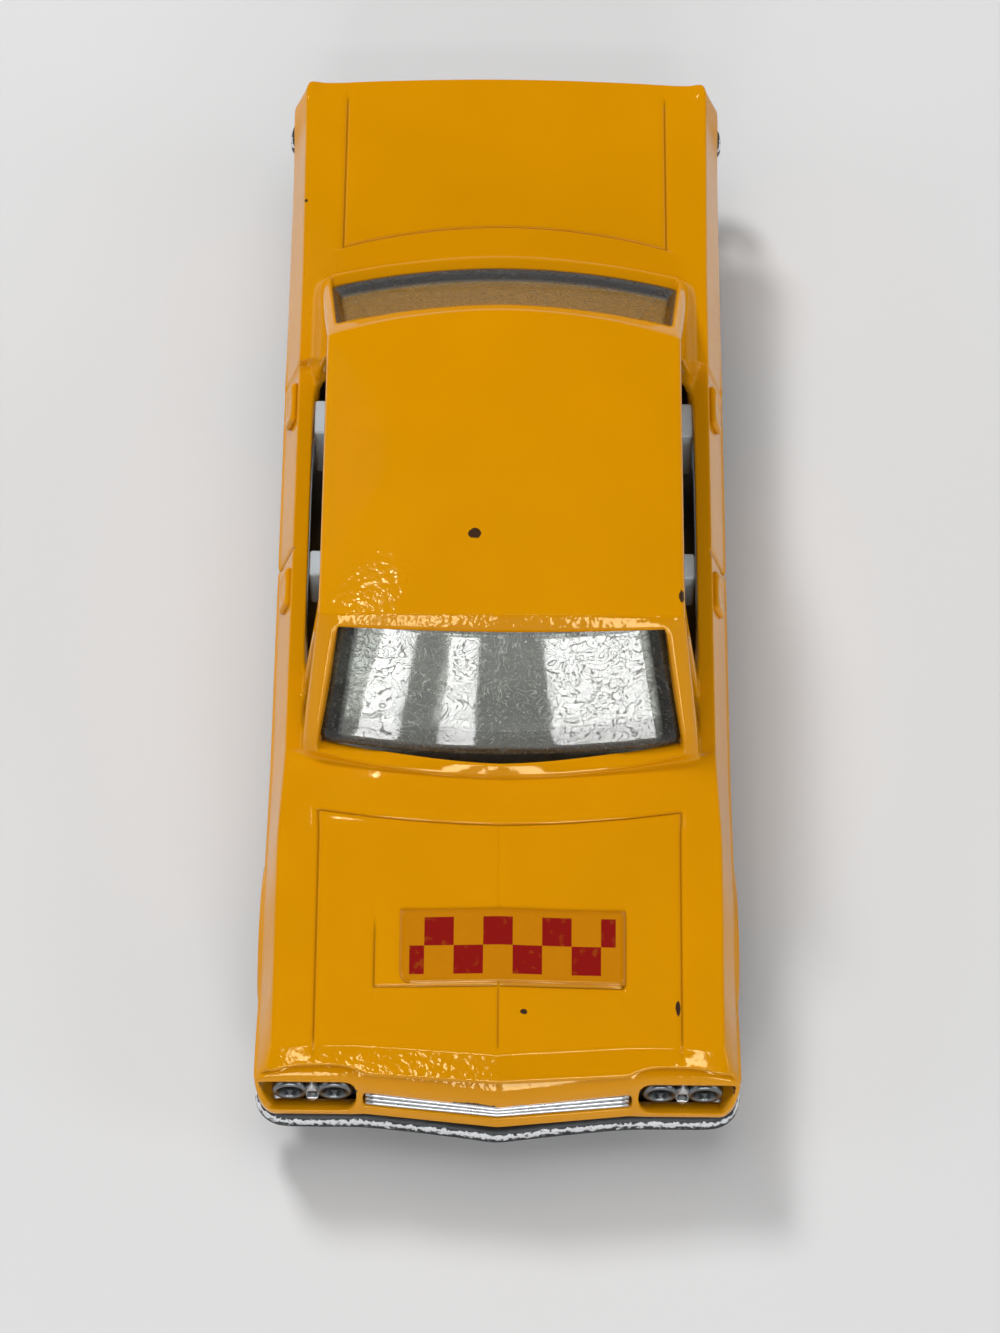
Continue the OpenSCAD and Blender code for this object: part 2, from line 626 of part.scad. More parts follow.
// Upright behind the nose: its front face follows the nose at a set depth
function upright_y(x, depth) = y_nose + nose_point*min(1, abs(x)/(body_w/2*nose_point_share)) + depth;
upright_w = sill_w - 2*wall - 2*seat_gap;
upright_top_z = lamp_z + lamp_r/2;
band_shares = [-1, -0.66, 0, 0.66, 1];
module nose_band(width, depth, thickness, z, height) {
    translate([0, 0, z]) linear_extrude(height)
        polygon(concat([for (s = band_shares) [s*width/2, upright_y(s*width/2, depth)]],
                       [for (s = -band_shares) [s*width/2, upright_y(s*width/2, depth + thickness)]]));
}

// A dished headlamp facing forward
lamp_dish_shares = [[0, 0.35], [0.5, 0.3], [0.75, 0.12], [0.8, 0], [1, 0], [1, 1], [0, 1]];
module headlamp(x) {
    depth = upright_depth - lamp_sink + upright_t/2;
    translate([x, upright_y(x, lamp_sink), lamp_z]) rotate([-90, 0, 0])
        rotate_extrude($fn = side_fn)
            polygon([for (p = lamp_dish_shares) [p[0]*lamp_r, p[1]*depth]]);
}

// Bearing blocks for an axle, on the plate
module axle_bearings(y) {
    both_sides()
        translate([bearing_x - bearing_w, y - bearing_l/2, base_z])
            cube([bearing_w, bearing_l, wheel_r + axle_r + plate_t - base_z]);
}

bearing_x = wheel_span/2 - wheel_w - side_play;
plate_hw = sill_w/2 - wall - seat_gap;
y_plate_front = y_nose + nose_point + bumper_t/2;
rear_bumper_z = tail_lip_z - seat_gap - rear_bumper_h/2;
front_bumper_z = nose_lip_z - seat_gap - bumper_h/2;
y_front_bumper = y_tip + bumper_t/2;
y_rear_bumper = y_end - bumper_t/2;
module base_plate() {
    color(metal_colour) difference() {
        union() {
            translate([-plate_hw, y_nose_lip + wall, base_z])
                cube([2*plate_hw, y_apron - y_nose_lip - 2*wall, plate_t]);
            translate([-upright_w/2, y_plate_front, base_z])
                cube([upright_w, y_nose_lip + 2*wall - y_plate_front, plate_t]);
            translate([-pad_w/2, (y_front_axle + y_rear_axle - pad_l)/2, pad_z])
                cube([pad_w, pad_l, pad_t + plate_t]);
            translate([-upright_w/2, y_apron - 2*wall, base_z]) cube([upright_w, 3*wall, plate_t]);
            translate([-upright_w/2, y_apron, base_z])
                cube([upright_w, wall, rear_bumper_z + rear_bumper_h/4 - base_z]);
            translate([-upright_w/2, y_apron, rear_bumper_z - rear_bumper_h/4])
                cube([upright_w, y_rear_bumper - tail_bow - y_apron, rear_bumper_h/2]);
            nose_band(upright_w, upright_depth, upright_t, base_z, upright_top_z - base_z);
            for (k = [-1, 0, 1])
                nose_band(grille_w - 2*seat_gap, lamp_sink, upright_depth,
                          lamp_z + k*grille_h/3 - grille_bar_h/2, grille_bar_h);
            both_sides() for (w = [outer_lamps_w, inner_lamps_w]) headlamp(w/2);
            for (y = [y_front_axle, y_rear_axle]) axle_bearings(y);
            swept_bar(full_path(half_path(y_front_bumper, y_front_bumper + nose_point, 1)),
                      front_bumper_z, bumper_t, bumper_h);
            swept_bar(full_path(half_path(y_rear_bumper, y_rear_bumper - tail_bow, -1)),
                      rear_bumper_z, bumper_t, rear_bumper_h);
        }
        for (y = [y_front_axle, y_rear_axle]) {
            axle_line(y, axle_r + axle_fit, 2*bearing_x + overrun);
            both_sides()
                translate([bearing_x, y - wheel_r - 2*side_play, pad_z - overrun])
                    cube([body_w, wheel_d + 4*side_play, wheel_d]);
        }
        for (y = [y_front_post, y_rear_post])
            translate([0, y, pad_z]) cylinder(r = rivet_r + seat_gap, h = plate_t + pad_t + overrun);
    }
}

// Clear moulding: a liner of the cabin, open at the sides, with a raised pane in each opening
glass_depth = wall + seat_gap;
y_liner_front = y_pillar_foot + 2*glass_depth;
y_liner_rear = y_backlight - backlight_bow - 2*glass_depth;
module liner_side_cut() {
    across_bar(2*body_w)
        polygon([[y_liner_front, 0], [y_liner_rear, 0], [y_liner_rear, ledge_z],
                 [y_liner_rear - backlight_run, window_top_z], [y_liner_front + screen_run, window_top_z],
                 [y_liner_front, ledge_z]]);
}
module window_unit() {
    color(clear_colour) difference() {
        union() {
            cabin_block(glass_depth);
            intersection() {
                cabin_block(pane_sink);
                union() {
                    screen_cut(0, screen_edge_shares, screen_z, 3*wall, pane_share);
                    screen_cut(1, backlight_edge_shares, backlight_z, 3*wall, pane_share);
                }
            }
        }
        cabin_block(glass_depth + glass_t);
        liner_side_cut();
    }
}

// Seat moulding: a floor with two benches, a dashboard and a steering wheel
floor_z = plate_top_z + floor_t;
y_floor_front = y_pillar_foot + wall;
y_floor_rear = min(y_roof_rear - seat_setback, y_rear_axle - wheel_r - wall);
module bench(y_back, reach) {
    across_bar(seat_w)
        polygon([[y_back, plate_top_z], [y_back, seat_top_z], [y_back - seat_back_t, seat_top_z],
                 [y_back - seat_back_t - seat_lean, cushion_z], [y_back - reach, cushion_z],
                 [y_back - reach, plate_top_z]]);
}
module steering_wheel() {
    ring_r = steering_r - rim_r;
    translate([0, 0, -steering_r]) cylinder(r = rim_r, h = 2*steering_r, $fn = side_fn);
    translate([0, 0, steering_r])
        rotate_extrude() translate([ring_r, 0]) circle(r = rim_r, $fn = side_fn);
    translate([-ring_r, -rim_r/2, steering_r - rim_r/2]) cube([2*ring_r, rim_r, rim_r]);
}
module seat_unit() {
    dash_top_z = ledge_z - overrun - seat_gap;
    color(seat_colour) {
        translate([-seat_w/2, y_floor_front, plate_top_z])
            cube([seat_w, y_floor_rear - y_floor_front, floor_t]);
        bench(y_front_seat, bench_l);
        bench(y_floor_rear, bench_l);
        translate([-seat_w/2, y_floor_front, plate_top_z]) cube([seat_w, dash_l, dash_top_z - plate_top_z]);
        translate([seat_w/4, y_floor_front + dash_l, dash_top_z - steering_r/2])
            rotate([-steering_tilt, 0, 0]) steering_wheel();
    }
}

// Steel pin with a formed head at each end
module pin_axle(y) {
    pin_l = wheel_span + 2*side_play;
    color(steel_colour) {
        axle_line(y, axle_r, pin_l);
        both_sides()
            translate([pin_l/2, y, wheel_r]) rotate([0, 90, 0])
                cylinder(r1 = axle_head_r, r2 = axle_r, h = axle_head_h);
    }
}
module front_axle() {
    pin_axle(y_front_axle);
}
module rear_axle() {
    pin_axle(y_rear_axle);
}

// Wheel: tyre and dished hub in one moulding, its outer face towards +X
hub_r = wheel_r*hub_share;
boss_r = axle_head_r + side_play;
module wheel(y, side) {
    bore_r = axle_r + axle_fit;
    outline = [[bore_r, 0], [hub_r, 0], [wheel_r - tyre_round, 0], [wheel_r, tyre_round],
               [wheel_r, wheel_w - tyre_round], [wheel_r - tyre_round, wheel_w],
               [hub_r + tyre_round, wheel_w], [hub_r, wheel_w - hub_depth],
               [boss_r + tyre_round, wheel_w - hub_depth], [boss_r, wheel_w], [bore_r, wheel_w]];
    color(wheel_colour) mirror([side < 0 ? 1 : 0, 0, 0])
        translate([wheel_span/2 - wheel_w, y, wheel_r]) rotate([0, 90, 0])
            rotate_extrude($fn = wheel_fn) polygon(outline);
}
module front_left_wheel() {
    wheel(y_front_axle, 1);
}
module front_right_wheel() {
    wheel(y_front_axle, -1);
}
module rear_left_wheel() {
    wheel(y_rear_axle, 1);
}
module rear_right_wheel() {
    wheel(y_rear_axle, -1);
}

// Label film that follows the hood
label_cells_shares = [-1, -0.8, -0.6, -0.4, -0.2, 0, 0.2, 0.4, 0.6, 0.8, 1];
module hood_label() {
    y_label = lerp(y_hood_front, y_hood_rear, label_share);
    color(label_colour)
        mapped_block(function (a, b, c)
                         let (x = label_x + a*label_w/2, y = y_label + b*label_l/2)
                         [x, y, top_z(x, y) + label_gap + c*label_t],
                     label_cells_shares, [-1, 0, 1], [0, 1]);
}

body_shell();
base_plate();
window_unit();
seat_unit();
front_axle();
rear_axle();
front_left_wheel();
front_right_wheel();
rear_left_wheel();
rear_right_wheel();
hood_label();
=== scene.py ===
"""Looks of a pocket-size die-cast toy taxi: enamelled body casting, bare metal base, clear windows and film label."""
import math

import bmesh
import bpy
import numpy as np
from bpy.props import FloatProperty, FloatVectorProperty, PointerProperty
from mathutils import Matrix, Vector


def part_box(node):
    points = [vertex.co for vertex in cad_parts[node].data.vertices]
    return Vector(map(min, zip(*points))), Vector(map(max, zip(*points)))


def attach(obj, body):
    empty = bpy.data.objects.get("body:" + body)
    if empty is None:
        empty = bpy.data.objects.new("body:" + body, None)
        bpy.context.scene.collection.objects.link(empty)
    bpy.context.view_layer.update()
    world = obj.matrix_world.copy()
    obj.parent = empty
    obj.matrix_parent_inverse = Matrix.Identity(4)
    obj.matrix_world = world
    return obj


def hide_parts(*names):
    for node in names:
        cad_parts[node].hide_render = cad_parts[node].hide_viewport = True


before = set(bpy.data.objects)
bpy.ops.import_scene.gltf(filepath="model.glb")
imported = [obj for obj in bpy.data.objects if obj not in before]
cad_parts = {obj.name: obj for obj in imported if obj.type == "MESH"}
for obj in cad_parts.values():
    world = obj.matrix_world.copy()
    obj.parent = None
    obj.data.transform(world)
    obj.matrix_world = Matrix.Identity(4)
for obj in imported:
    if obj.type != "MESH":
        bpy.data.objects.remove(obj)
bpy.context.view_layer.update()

bl_info = {
    "name": "Die-cast toy taxi",
    "version": (1, 0, 0),
    "blender": (4, 5, 0),
    "location": "View3D > Sidebar > Taxi",
    "description": "Models and finishes a small die-cast taxi around its packed frame",
    "category": "Mesh",
}

MM = 0.001


def linear(hex_text):
    """Turns an sRGB hex colour into the linear values that Blender uses."""
    parts = [int(hex_text[i:i + 2], 16)/255 for i in (1, 3, 5)]
    return tuple(p/12.92 if p <= 0.04045 else ((p + 0.055)/1.055)**2.4 for p in parts)


def length(name, size_mm, description):
    """A length setting, given in millimetres and kept in metres."""
    return FloatProperty(name=name, description=description, default=size_mm*MM, unit="LENGTH", precision=5)


def colour(name, hex_text, description):
    """A colour setting, given as sRGB hex."""
    return FloatVectorProperty(name=name, description=description, default=linear(hex_text), subtype="COLOR",
                               size=3, min=0, max=1)


class TaxiBodySizes(bpy.types.PropertyGroup):
    """Sizes of the painted body casting."""
    nose_l: length("Nose", 2.3, "From the lip of the nose to the hood's front crease")
    hood_l: length("Hood", 14.5, "From the hood's front crease to its rear seam")
    cowl_l: length("Cowl", 3.55, "From the hood's rear seam to the foot of the windscreen")
    cabin_l: length("Cabin", 38.85, "From the foot of the windscreen to the foot of the rear window")
    shelf_l: length("Shelf", 2.6, "From the foot of the rear window to the trunk lid's seam")
    width: length("Width", 29.6, "Across the widest crease at nose and tail")
    door_tuck: length("Door tuck", 0.3, "How far the doors lie inside the widest crease")
    sill_tuck: length("Sill tuck", 0.8, "How far the lower edges lie inside the widest crease")
    hood_tuck: length("Hood shoulder tuck", 1.05, "How far the shoulders lie inside it along the hood")
    door_shoulder_tuck: length("Door shoulder tuck", 1.35, "How far the shoulders lie inside it at the doors")
    tail_tuck: length("Tail shoulder tuck", 1.15, "How far the shoulders lie inside it at the tail")
    sill_z: length("Sill height", 3.4, "Lower edge of the sides")
    nose_lip_z: length("Nose lip height", 4.9, "Lower edge of the nose")
    tail_lip_z: length("Tail lip height", 7.7, "Lower edge of the tail")
    front_shoulder_z: length("Front shoulder height", 9.7, "Shoulder crease at the nose")
    cowl_shoulder_z: length("Cowl shoulder height", 11.5, "Shoulder crease at the cowl")
    rear_shoulder_z: length("Rear shoulder height", 12.1, "Shoulder crease beside the rear window")
    tail_shoulder_z: length("Tail shoulder height", 12.4, "Shoulder crease at the tail")
    hood_front_z: length("Hood front height", 10.1, "Middle of the hood at its front crease")
    hood_rear_z: length("Hood rear height", 12.2, "Middle of the hood at its rear seam")
    screen_foot_z: length("Windscreen foot height", 12.6, "Foot of the windscreen")
    backlight_foot_z: length("Rear window foot height", 13.1, "Foot of the rear window")
    deck_rear_z: length("Trunk height", 12.2, "Middle of the trunk lid at the tail")
    ledge_z: length("Door top height", 11.5, "Door tops under the side windows")
    nose_point: length("Nose point", 1.0, "How far the nose runs to a point")
    nose_blunt: length("Nose blunting", 0.35, "How much less the nose points at the hood's front crease")
    tail_bow: length("Tail bow", 0.7, "How far the tail bows out")
    tail_undercut: length("Tail undercut", 1.2, "How far the tail tucks in downwards")
    corner_r: length("Tail corner radius", 1.0, "Radius of the tail's corners in plan")
    nose_corner_r: length("Nose corner radius", 0.7, "Radius of the nose's corners in plan")
    ridge_h: length("Hood ridge", 0.2, "Height of the ridge along the hood")
    arch_gap: length("Arch gap", 0.6, "Gap between wheel and arch")
    arch_top_z: length("Arch top", 8.6, "Height of the wheel arches")
    arch_lip: length("Arch lip", 0.2, "How far the front arch's lip stands out from the crease")
    wall: length("Wall", 1.0, "Thickness of the casting")
    seam_w: length("Seam half width", 0.16, "Half the width of an engraved seam")
    seam_depth: length("Seam depth", 0.17, "Depth of an engraved seam")
    seam_bow: length("Seam bow", 2.2, "How far the seams of hood and trunk turn from the middle to the sides")
    frame_l: length("Label frame", 5.65, "From the front axle to the engraved line before the label")
    door_seam_y: length("Door seam", -0.3, "Place of the seam between the doors")
    tip_h: length("Tail tips", 0.3, "How far the tail's corners turn up")
    panel_depth: length("Tail panel depth", 0.4, "Depth of the recess in the tail")


class TaxiCabinSizes(bpy.types.PropertyGroup):
    """Sizes of the cabin part of the casting."""
    tuck: length("Cabin tuck", 2.3, "How far the window sills lie inside the body's widest crease")
    roof_tuck: length("Roof tuck", 1.25, "How far the roof's edges lie inside the window sills")
    roof_edge_z: length("Roof edge height", 19.6, "Edge of the roof")
    roof_crown: length("Roof crown", 0.9, "Rise of the roof to its middle")
    screen_run: length("Windscreen run", 7.35, "Length that the windscreen leans back over")
    backlight_run: length("Rear window run", 8.9, "Length that the rear window leans forward over")
    screen_bow: length("Windscreen bow", 2.1, "How far the windscreen's foot bows forward")
    backlight_bow: length("Rear window bow", 1.8, "How far the rear window bows back")
    roof_front_bow: length("Roof front bow", 0.25, "How far the roof's front edge bows forward")
    screen_rim: length("Windscreen rim", 0.1, "Height of the rim under the windscreen")
    screen_header: length("Windscreen header", 0.5, "Height of the rim over the windscreen")
    backlight_rim: length("Rear window rim", 0.2, "Height of the rim under the rear window")
    backlight_header: length("Rear window header", 0.75, "Height of the rim over the rear window")
    bead: length("Bead", 0.24, "How far the bead round a window stands out")
    pillar_w: length("Pillar width", 1.3, "Width of the windscreen pillar along the car")
    vent_post_y: length("Vent post place", -10.75, "Front of the post behind the vent window")
    vent_post_w: length("Vent post width", 1.0, "Width of that post")
    window_end_y: length("Side window end", 12.4, "Rear end of the side window")
    step_y: length("Fender step", 13.55, "Place where the door top steps up to the rear fender")


class TaxiBaseSizes(bpy.types.PropertyGroup):
    """Sizes of the bare metal base with its bumpers, lamps and grille."""
    plate_z: length("Plate underside", 2.8, "Height of the plate's underside")
    plate_t: length("Plate", 0.9, "Thickness of the plate")
    gap: length("Gap", 0.15, "Gap between the base and the body")
    pad_z: length("Pad underside", 2.1, "Height of the underside of the pad between the axles")
    pad_w: length("Pad width", 24, "Width of that pad")
    pad_l: length("Pad length", 15, "Length of that pad")
    bearing_x: length("Bearing place", 9.8, "Outer face of an axle bearing from the middle")
    bearing_w: length("Bearing width", 2.6, "Width of an axle bearing")
    bearing_l: length("Bearing length", 2.8, "Length of an axle bearing")
    bearing_z: length("Bearing top", 6.25, "Height of a bearing's top")
    bumper_w: length("Bumper width", 30, "Length of a bumper across the car")
    bumper_t: length("Bumper thickness", 1.3, "Thickness of a bumper")
    front_bumper_h: length("Front bumper", 1.75, "Height of the front bumper")
    rear_bumper_h: length("Rear bumper", 1.9, "Height of the rear bumper")
    wrap_l: length("Bumper wrap", 1, "How far a bumper runs round a corner")
    lamp_z: length("Lamp height", 6.85, "Height of the headlamps' middles")
    lamp_r: length("Lamp radius", 1.12, "Radius of a headlamp")
    outer_lamp_x: length("Outer lamp", 12.65, "Outer headlamp from the middle")
    inner_lamp_x: length("Inner lamp", 9.95, "Inner headlamp from the middle")
    lamp_sink: length("Lamp depth", 0.48, "How far the lamps lie behind the nose")
    back_depth: length("Upright depth", 1.3, "How far the upright lies behind the nose")
    back_top_z: length("Upright top", 7.6, "Height of that upright")
    bar_h: length("Grille bar", 0.24, "Height of a grille bar")
    bar_sink: length("Grille depth", 0.03, "How far the grille lies behind the nose")
    block_pitch: length("Grille block spacing", 1.15, "Spacing of the blocks between the bars")


class TaxiWindowSizes(bpy.types.PropertyGroup):
    """Sizes of the clear window moulding."""
    pane_gap: length("Pane gap", 0.06, "Gap between a pane and its opening")
    pane_sink: length("Pane depth", 0.2, "How far a pane lies behind the painted skin")
    pane_bevel: length("Pane bevel", 0.85, "Width of the bevel round a pane")
    bevel_depth: length("Bevel depth", 0.5, "Depth of that bevel")
    liner_depth: length("Liner depth", 1.25, "How far the liner lies behind the painted skin")
    liner_t: length("Liner", 0.6, "Thickness of the liner")


class TaxiSeatSizes(bpy.types.PropertyGroup):
    """Sizes of the seat moulding."""
    width: length("Width", 22, "Width of floor and dashboard")
    bench_w: length("Bench width", 22, "Width of the benches")
    floor_z: length("Floor", 3.75, "Height of the floor's underside")
    floor_t: length("Floor thickness", 0.8, "Thickness of the floor")
    cushion_z: length("Cushion height", 8.6, "Height of the cushions")
    back_z: length("Back height", 13, "Height of the seat backs")
    bench_l: length("Bench length", 7.2, "Length of a bench")
    back_t: length("Back thickness", 1.8, "Thickness of a seat back")
    front_y: length("Front bench", -1.4, "Rear face of the front bench")
    pleat_h: length("Pleat", 0.16, "Depth of the pleats")
    rest_x: length("Armrest place", 12.4, "Outer face of the armrests from the middle")
    rest_w: length("Armrest width", 1.9, "Width of the armrests")
    rest_z: length("Armrest height", 11.2, "Height of the armrests")
    wheel_r: length("Steering wheel radius", 2.3, "Radius of the steering wheel")
    rim_r: length("Steering wheel rim", 0.32, "Radius of the steering wheel's rim")
    wheel_x: length("Steering wheel place", 5.5, "Steering wheel from the middle")


class TaxiWheelSizes(bpy.types.PropertyGroup):
    """Sizes of wheels and axles."""
    axle_r: length("Axle radius", 0.75, "Radius of an axle")
    head_r: length("Head radius", 1.25, "Radius of the formed head on an axle")
    tread_depth: length("Tread depth", 0.16, "Depth of the tread")


class TaxiTrimSizes(bpy.types.PropertyGroup):
    """Sizes of the label and small cast details."""
    label_gap: length("Label gap", 0.03, "Air under the label film")
    label_t: length("Label film", 0.05, "Thickness of the label film")
    label_trim: length("Label trim", 0.5, "How far the film's front edge stays behind the label solid's")
    check: length("Check", 1.8, "Side of one check of the printed band")
    handle_w: length("Handle width", 1.5, "Width of a door handle")
    handle_out: length("Handle depth", 0.3, "How far a door handle stands out")
    tail_lamp_r: length("Tail lamp radius", 1.05, "Radius of a tail lamp")
    tail_lamp_x: length("Tail lamp place", 11, "Outer tail lamp from the middle")
    tail_lamp_gap: length("Tail lamp spacing", 2.4, "Spacing of the tail lamps")
    rivet_r: length("Rivet radius", 1.9, "Radius of a rivet's head")


class TaxiColours(bpy.types.PropertyGroup):
    """Colours of the finishes."""
    enamel: colour("Enamel", "#d58e00", "Taxi yellow stoving enamel")
    # Also painted shade in the dark gaps round the lamp openings
    chip_and_gap_shade: colour("Chips", "#3d2a1c", "Primer and metal where the enamel is chipped")
    # Painted shade in the engraved seams, with some old polish and dirt
    seam_shade_and_dirt: colour("Grime", "#5a3c08", "Old polish and dirt in the seams")
    zinc: colour("Zinc", "#6f7274", "Bare zinc casting")
    silver: colour("Silver", "#dfe1e3", "Silver finish on grille and bumper edges")
    seat: colour("Seats", "#c9d2d8", "Pale blue-grey polystyrene")
    tyre: colour("Wheels", "#1b1b1c", "Black polystyrene wheels")
    steel: colour("Steel", "#a9abad", "Drawn steel wire")
    gloss: colour("Gloss", "#ffeab0", "Tint of highlights on enamel and film")
    clear: colour("Clear", "#dfe3da", "Clear polystyrene of the windscreen")
    aged_clear: colour("Aged clear", "#e3b962", "Yellowed polystyrene of the rear window")
    # Painted shade on the panes' bevelled edges, standing in for the dark inside seen through them
    bevel: colour("Pane edges", "#26241c", "Dark bevelled edges of the panes")
    floor: colour("Floor", "#d6d6d6", "Pale paper floor")
    print_red: colour("Print", "#86100f", "Dark red printing ink")
    film: colour("Film", "#c27a03", "Amber film over enamel")


def lerp(p, q, t):
    """The value at the share t from p to q."""
    return p + (q - p)*t


def new_object(name, bm, material, body="chassis"):
    """Turns a finished bmesh into an object that rides on a body."""
    mesh = bpy.data.meshes.new(name)
    bm.to_mesh(mesh)
    bm.free()
    mesh.polygons.foreach_set("use_smooth", [True]*len(mesh.polygons))
    obj = bpy.data.objects.new(name, mesh)
    bpy.context.scene.collection.objects.link(obj)
    mesh.materials.append(material)
    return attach(obj, body)


def join(bm, part):
    """Adds another bmesh's faces to this one."""
    mesh = bpy.data.meshes.new("part")
    part.to_mesh(mesh)
    part.free()
    bm.from_mesh(mesh)
    bpy.data.meshes.remove(mesh)
    return bm


def mapped(counts, place):
    """A lattice box with each point moved to place(i, j, k)."""
    bm = lattice_box(counts)
    for v in bm.verts:
        v.co = place(*(round(n) for n in v.co))
    bm.normal_update()
    bmesh.ops.recalc_face_normals(bm, faces=bm.faces)
    return bm


def block(low, high, bevel, segments=2):
    """A box between two corners with rounded edges."""
    bm = bmesh.new()
    bmesh.ops.create_cube(bm, size=1)
    size = [q - p for p, q in zip(low, high)]
    bmesh.ops.scale(bm, verts=bm.verts, vec=size)
    bmesh.ops.translate(bm, verts=bm.verts, vec=[(p + q)/2 for p, q in zip(low, high)])
    bmesh.ops.bevel(bm, geom=bm.edges[:], offset=bevel, segments=segments, profile=0.5, affect="EDGES", material=-1)
    return bm


def turned(profile, centre, axis, steps, closed=False):
    """A solid turned from profile points about an axis through the centre."""
    bm = bmesh.new()
    verts = [bm.verts.new(p) for p in profile]
    pairs = list(zip(verts, verts[1:])) + ([(verts[-1], verts[0])] if closed else [])
    edges = [bm.edges.new(pair) for pair in pairs]
    bmesh.ops.spin(bm, geom=verts + edges, cent=centre, axis=axis, angle=2*math.pi, steps=steps, use_merge=True)
    bmesh.ops.remove_doubles(bm, verts=bm.verts, dist=1e-6)
    bmesh.ops.recalc_face_normals(bm, faces=bm.faces)
    return bm


def subdivided(obj, levels=2):
    """Finishes a piece with a subdivision surface."""
    modifier = obj.modifiers.new("smooth", "SUBSURF")
    modifier.levels = modifier.render_levels = levels
    return obj


def lattice_box(counts):
    """A box cut into unit cells, whose corners carry their place in the lattice as coordinates."""
    bm = bmesh.new()
    bmesh.ops.create_cube(bm, size=1)
    bmesh.ops.translate(bm, verts=bm.verts, vec=(0.5, 0.5, 0.5))
    bmesh.ops.scale(bm, verts=bm.verts, vec=counts)
    for axis, count in enumerate(counts):
        normal = [float(axis == n) for n in range(3)]
        for cut in range(1, count):
            geom = bm.verts[:] + bm.edges[:] + bm.faces[:]
            bmesh.ops.bisect_plane(bm, geom=geom, dist=1e-5, plane_co=[cut*n for n in normal], plane_no=normal)
    return bm


class Skin:
    """The painted skin as functions of place, and the lattice lines that its mesh follows."""
    # The side's crease as a share of its height, and how the side swells below it: heights, then shares of the tuck
    crease_share = 0.62
    bulge_shares = ((0, 0.35, 0.7, 1), (0, 0.55, 0.88, 1))
    # How nose and tail lean: heights, then shares of the nose's length and of the tail's undercut
    nose_shares = ((0, 0.1, 0.48, 0.6, 0.72, 1), (0.06, 0, 0.07, 0.13, 0.34, 1))
    tail_shares = ((0, 0.15, 0.5, 0.9, 1), (1, 0.75, 0.55, 0.1, 0))
    # Rows over a wheel arch, as shares of its radius
    arch_shares = (-1.02, -0.955, -0.76, -0.4, 0, 0.4, 0.76, 0.955, 1.02)
    # Share of the half width over which the nose runs to its point, and the power that rounds the crowned tops
    nose_point_share = 0.57
    crown_power = 2.4
    # Share up the nose where its blunting starts, and the share it grows over
    blunt_from, blunt_over = 0.45, 0.3
    # Share of the hood's rise that its front half takes, and of a corner's rounding that the shoulder takes
    hood_swell, shoulder_round = 0.55, 0.2
    # Half width of the hood's ridge, length of the tail's upturned tips, length that the rib fades over, mm
    ridge_hw_mm, tip_l_mm, rib_fade_mm = 4.1, 1.5, 3
    # Height of the lip along the sides' lower edges, and the least height that an arch leaves under the crease, mm
    lip_mm, least_side_mm = 0.5, 0.35
    # How far behind the nose and before the tail the lower edges come clear of the bumpers, mm
    lip_clear_mm = (4.65, 3.35)
    # How far the rows across the car stay behind the nose and before the tail, mm
    row_clear_mm = (1.2, 1.9)
    # Widths of windscreen and rear window at foot and head, as shares of what their columns give
    screen_spread, backlight_spread = (1, 0.957), (1.01, 1.016)
    # Where pillar and vent post meet the roof behind its front corner, and the window's end before its rear corner, mm
    post_heads_mm, window_head_mm = (0.4, 0.65, 1.3), 1.15
    # Rows between those, at the sill and at the roof, mm
    roof_rows_mm = ((-5.2, -5), (8, 6.8))
    # Columns from the middle outwards, at the nose, along the hood, at the cabin and along the trunk, in mm
    columns_mm = ((0, 0, 0, 0), (0.5, 0.16, 0.5, 0.5), (2.6, 2, 2, 2), (5, 4.4, 4.4, 4.4),
                  (7.3, 7.44, 7.2, 7), (7.85, 7.6, 7.6, 7.2), (8.2, 7.76, 8, 7.4), (8.55, 9.4, 9.6, 9.2),
                  (9.7, 11.04, 11.2, 10.64), (11, 11.2, 11.5, 10.8), (12.2, 11.36, 11.75, 10.96),
                  (13, 12.5, 12.5, 12.5), (13.45, 13.1, 13, 13.1))
    # Columns that a line follows: label frame, hood and trunk panels, window edge, cabin corner, grille end, lamp end
    bracket_column, panel_column, edge_column, corner_column = 5, 9, 10, 11
    grille_column, lamp_column = 6, 7
    # Levels up the sides, as shares of their height. The crease and the rib's upper edge are two of them.
    side_shares = (0, 0.07, 0.3, 0.56, 0.62, 0.645, 0.85, 0.94, 1)
    crease_level, rib_level = 4, 5
    # How far the two edges of the rib along the crease stand out from the side, mm
    rib_mm = {crease_level: 0.05, rib_level: -0.06}
    # Rows along doors and trunk that follow no line of the casting, mm
    plain_rows_mm = (-5.2, 4, 8, 27.5)

    def __init__(self, body, cabin):
        self.s, self.c = body, cabin
        low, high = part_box("body_shell")
        self.y_nose, self.y_tail = low.y, high.y
        self.y_hood_front = self.y_nose + body.nose_l
        self.y_hood_rear = self.y_hood_front + body.hood_l
        self.y_screen = self.y_hood_rear + body.cowl_l
        self.y_backlight = self.y_screen + body.cabin_l
        self.y_trunk = self.y_backlight + body.shelf_l
        self.y_pillar = self.y_screen + cabin.screen_bow
        self.half_w = body.width/2
        self.cabin_hw = self.half_w - cabin.tuck
        self.roof_hw = self.cabin_hw - cabin.roof_tuck
        self.y_roof_front = self.y_screen + cabin.screen_run
        self.y_roof_rear = self.y_backlight - cabin.backlight_run
        wheel_low, wheel_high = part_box("front_left_wheel")
        self.wheel_r = (wheel_high.z - wheel_low.z)/2
        self.arch_r = self.wheel_r + body.arch_gap
        self.axles = [self.middle_y("front_left_wheel"), self.middle_y("rear_left_wheel")]
        self.levels = len(self.side_shares) - 1
        self.columns = np.array(self.columns_mm)*MM
        self.last_column = len(self.columns)
        self.place_rows()

    @staticmethod
    def middle_y(node):
        """Middle of a node's box along the car."""
        low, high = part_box(node)
        return (low.y + high.y)/2

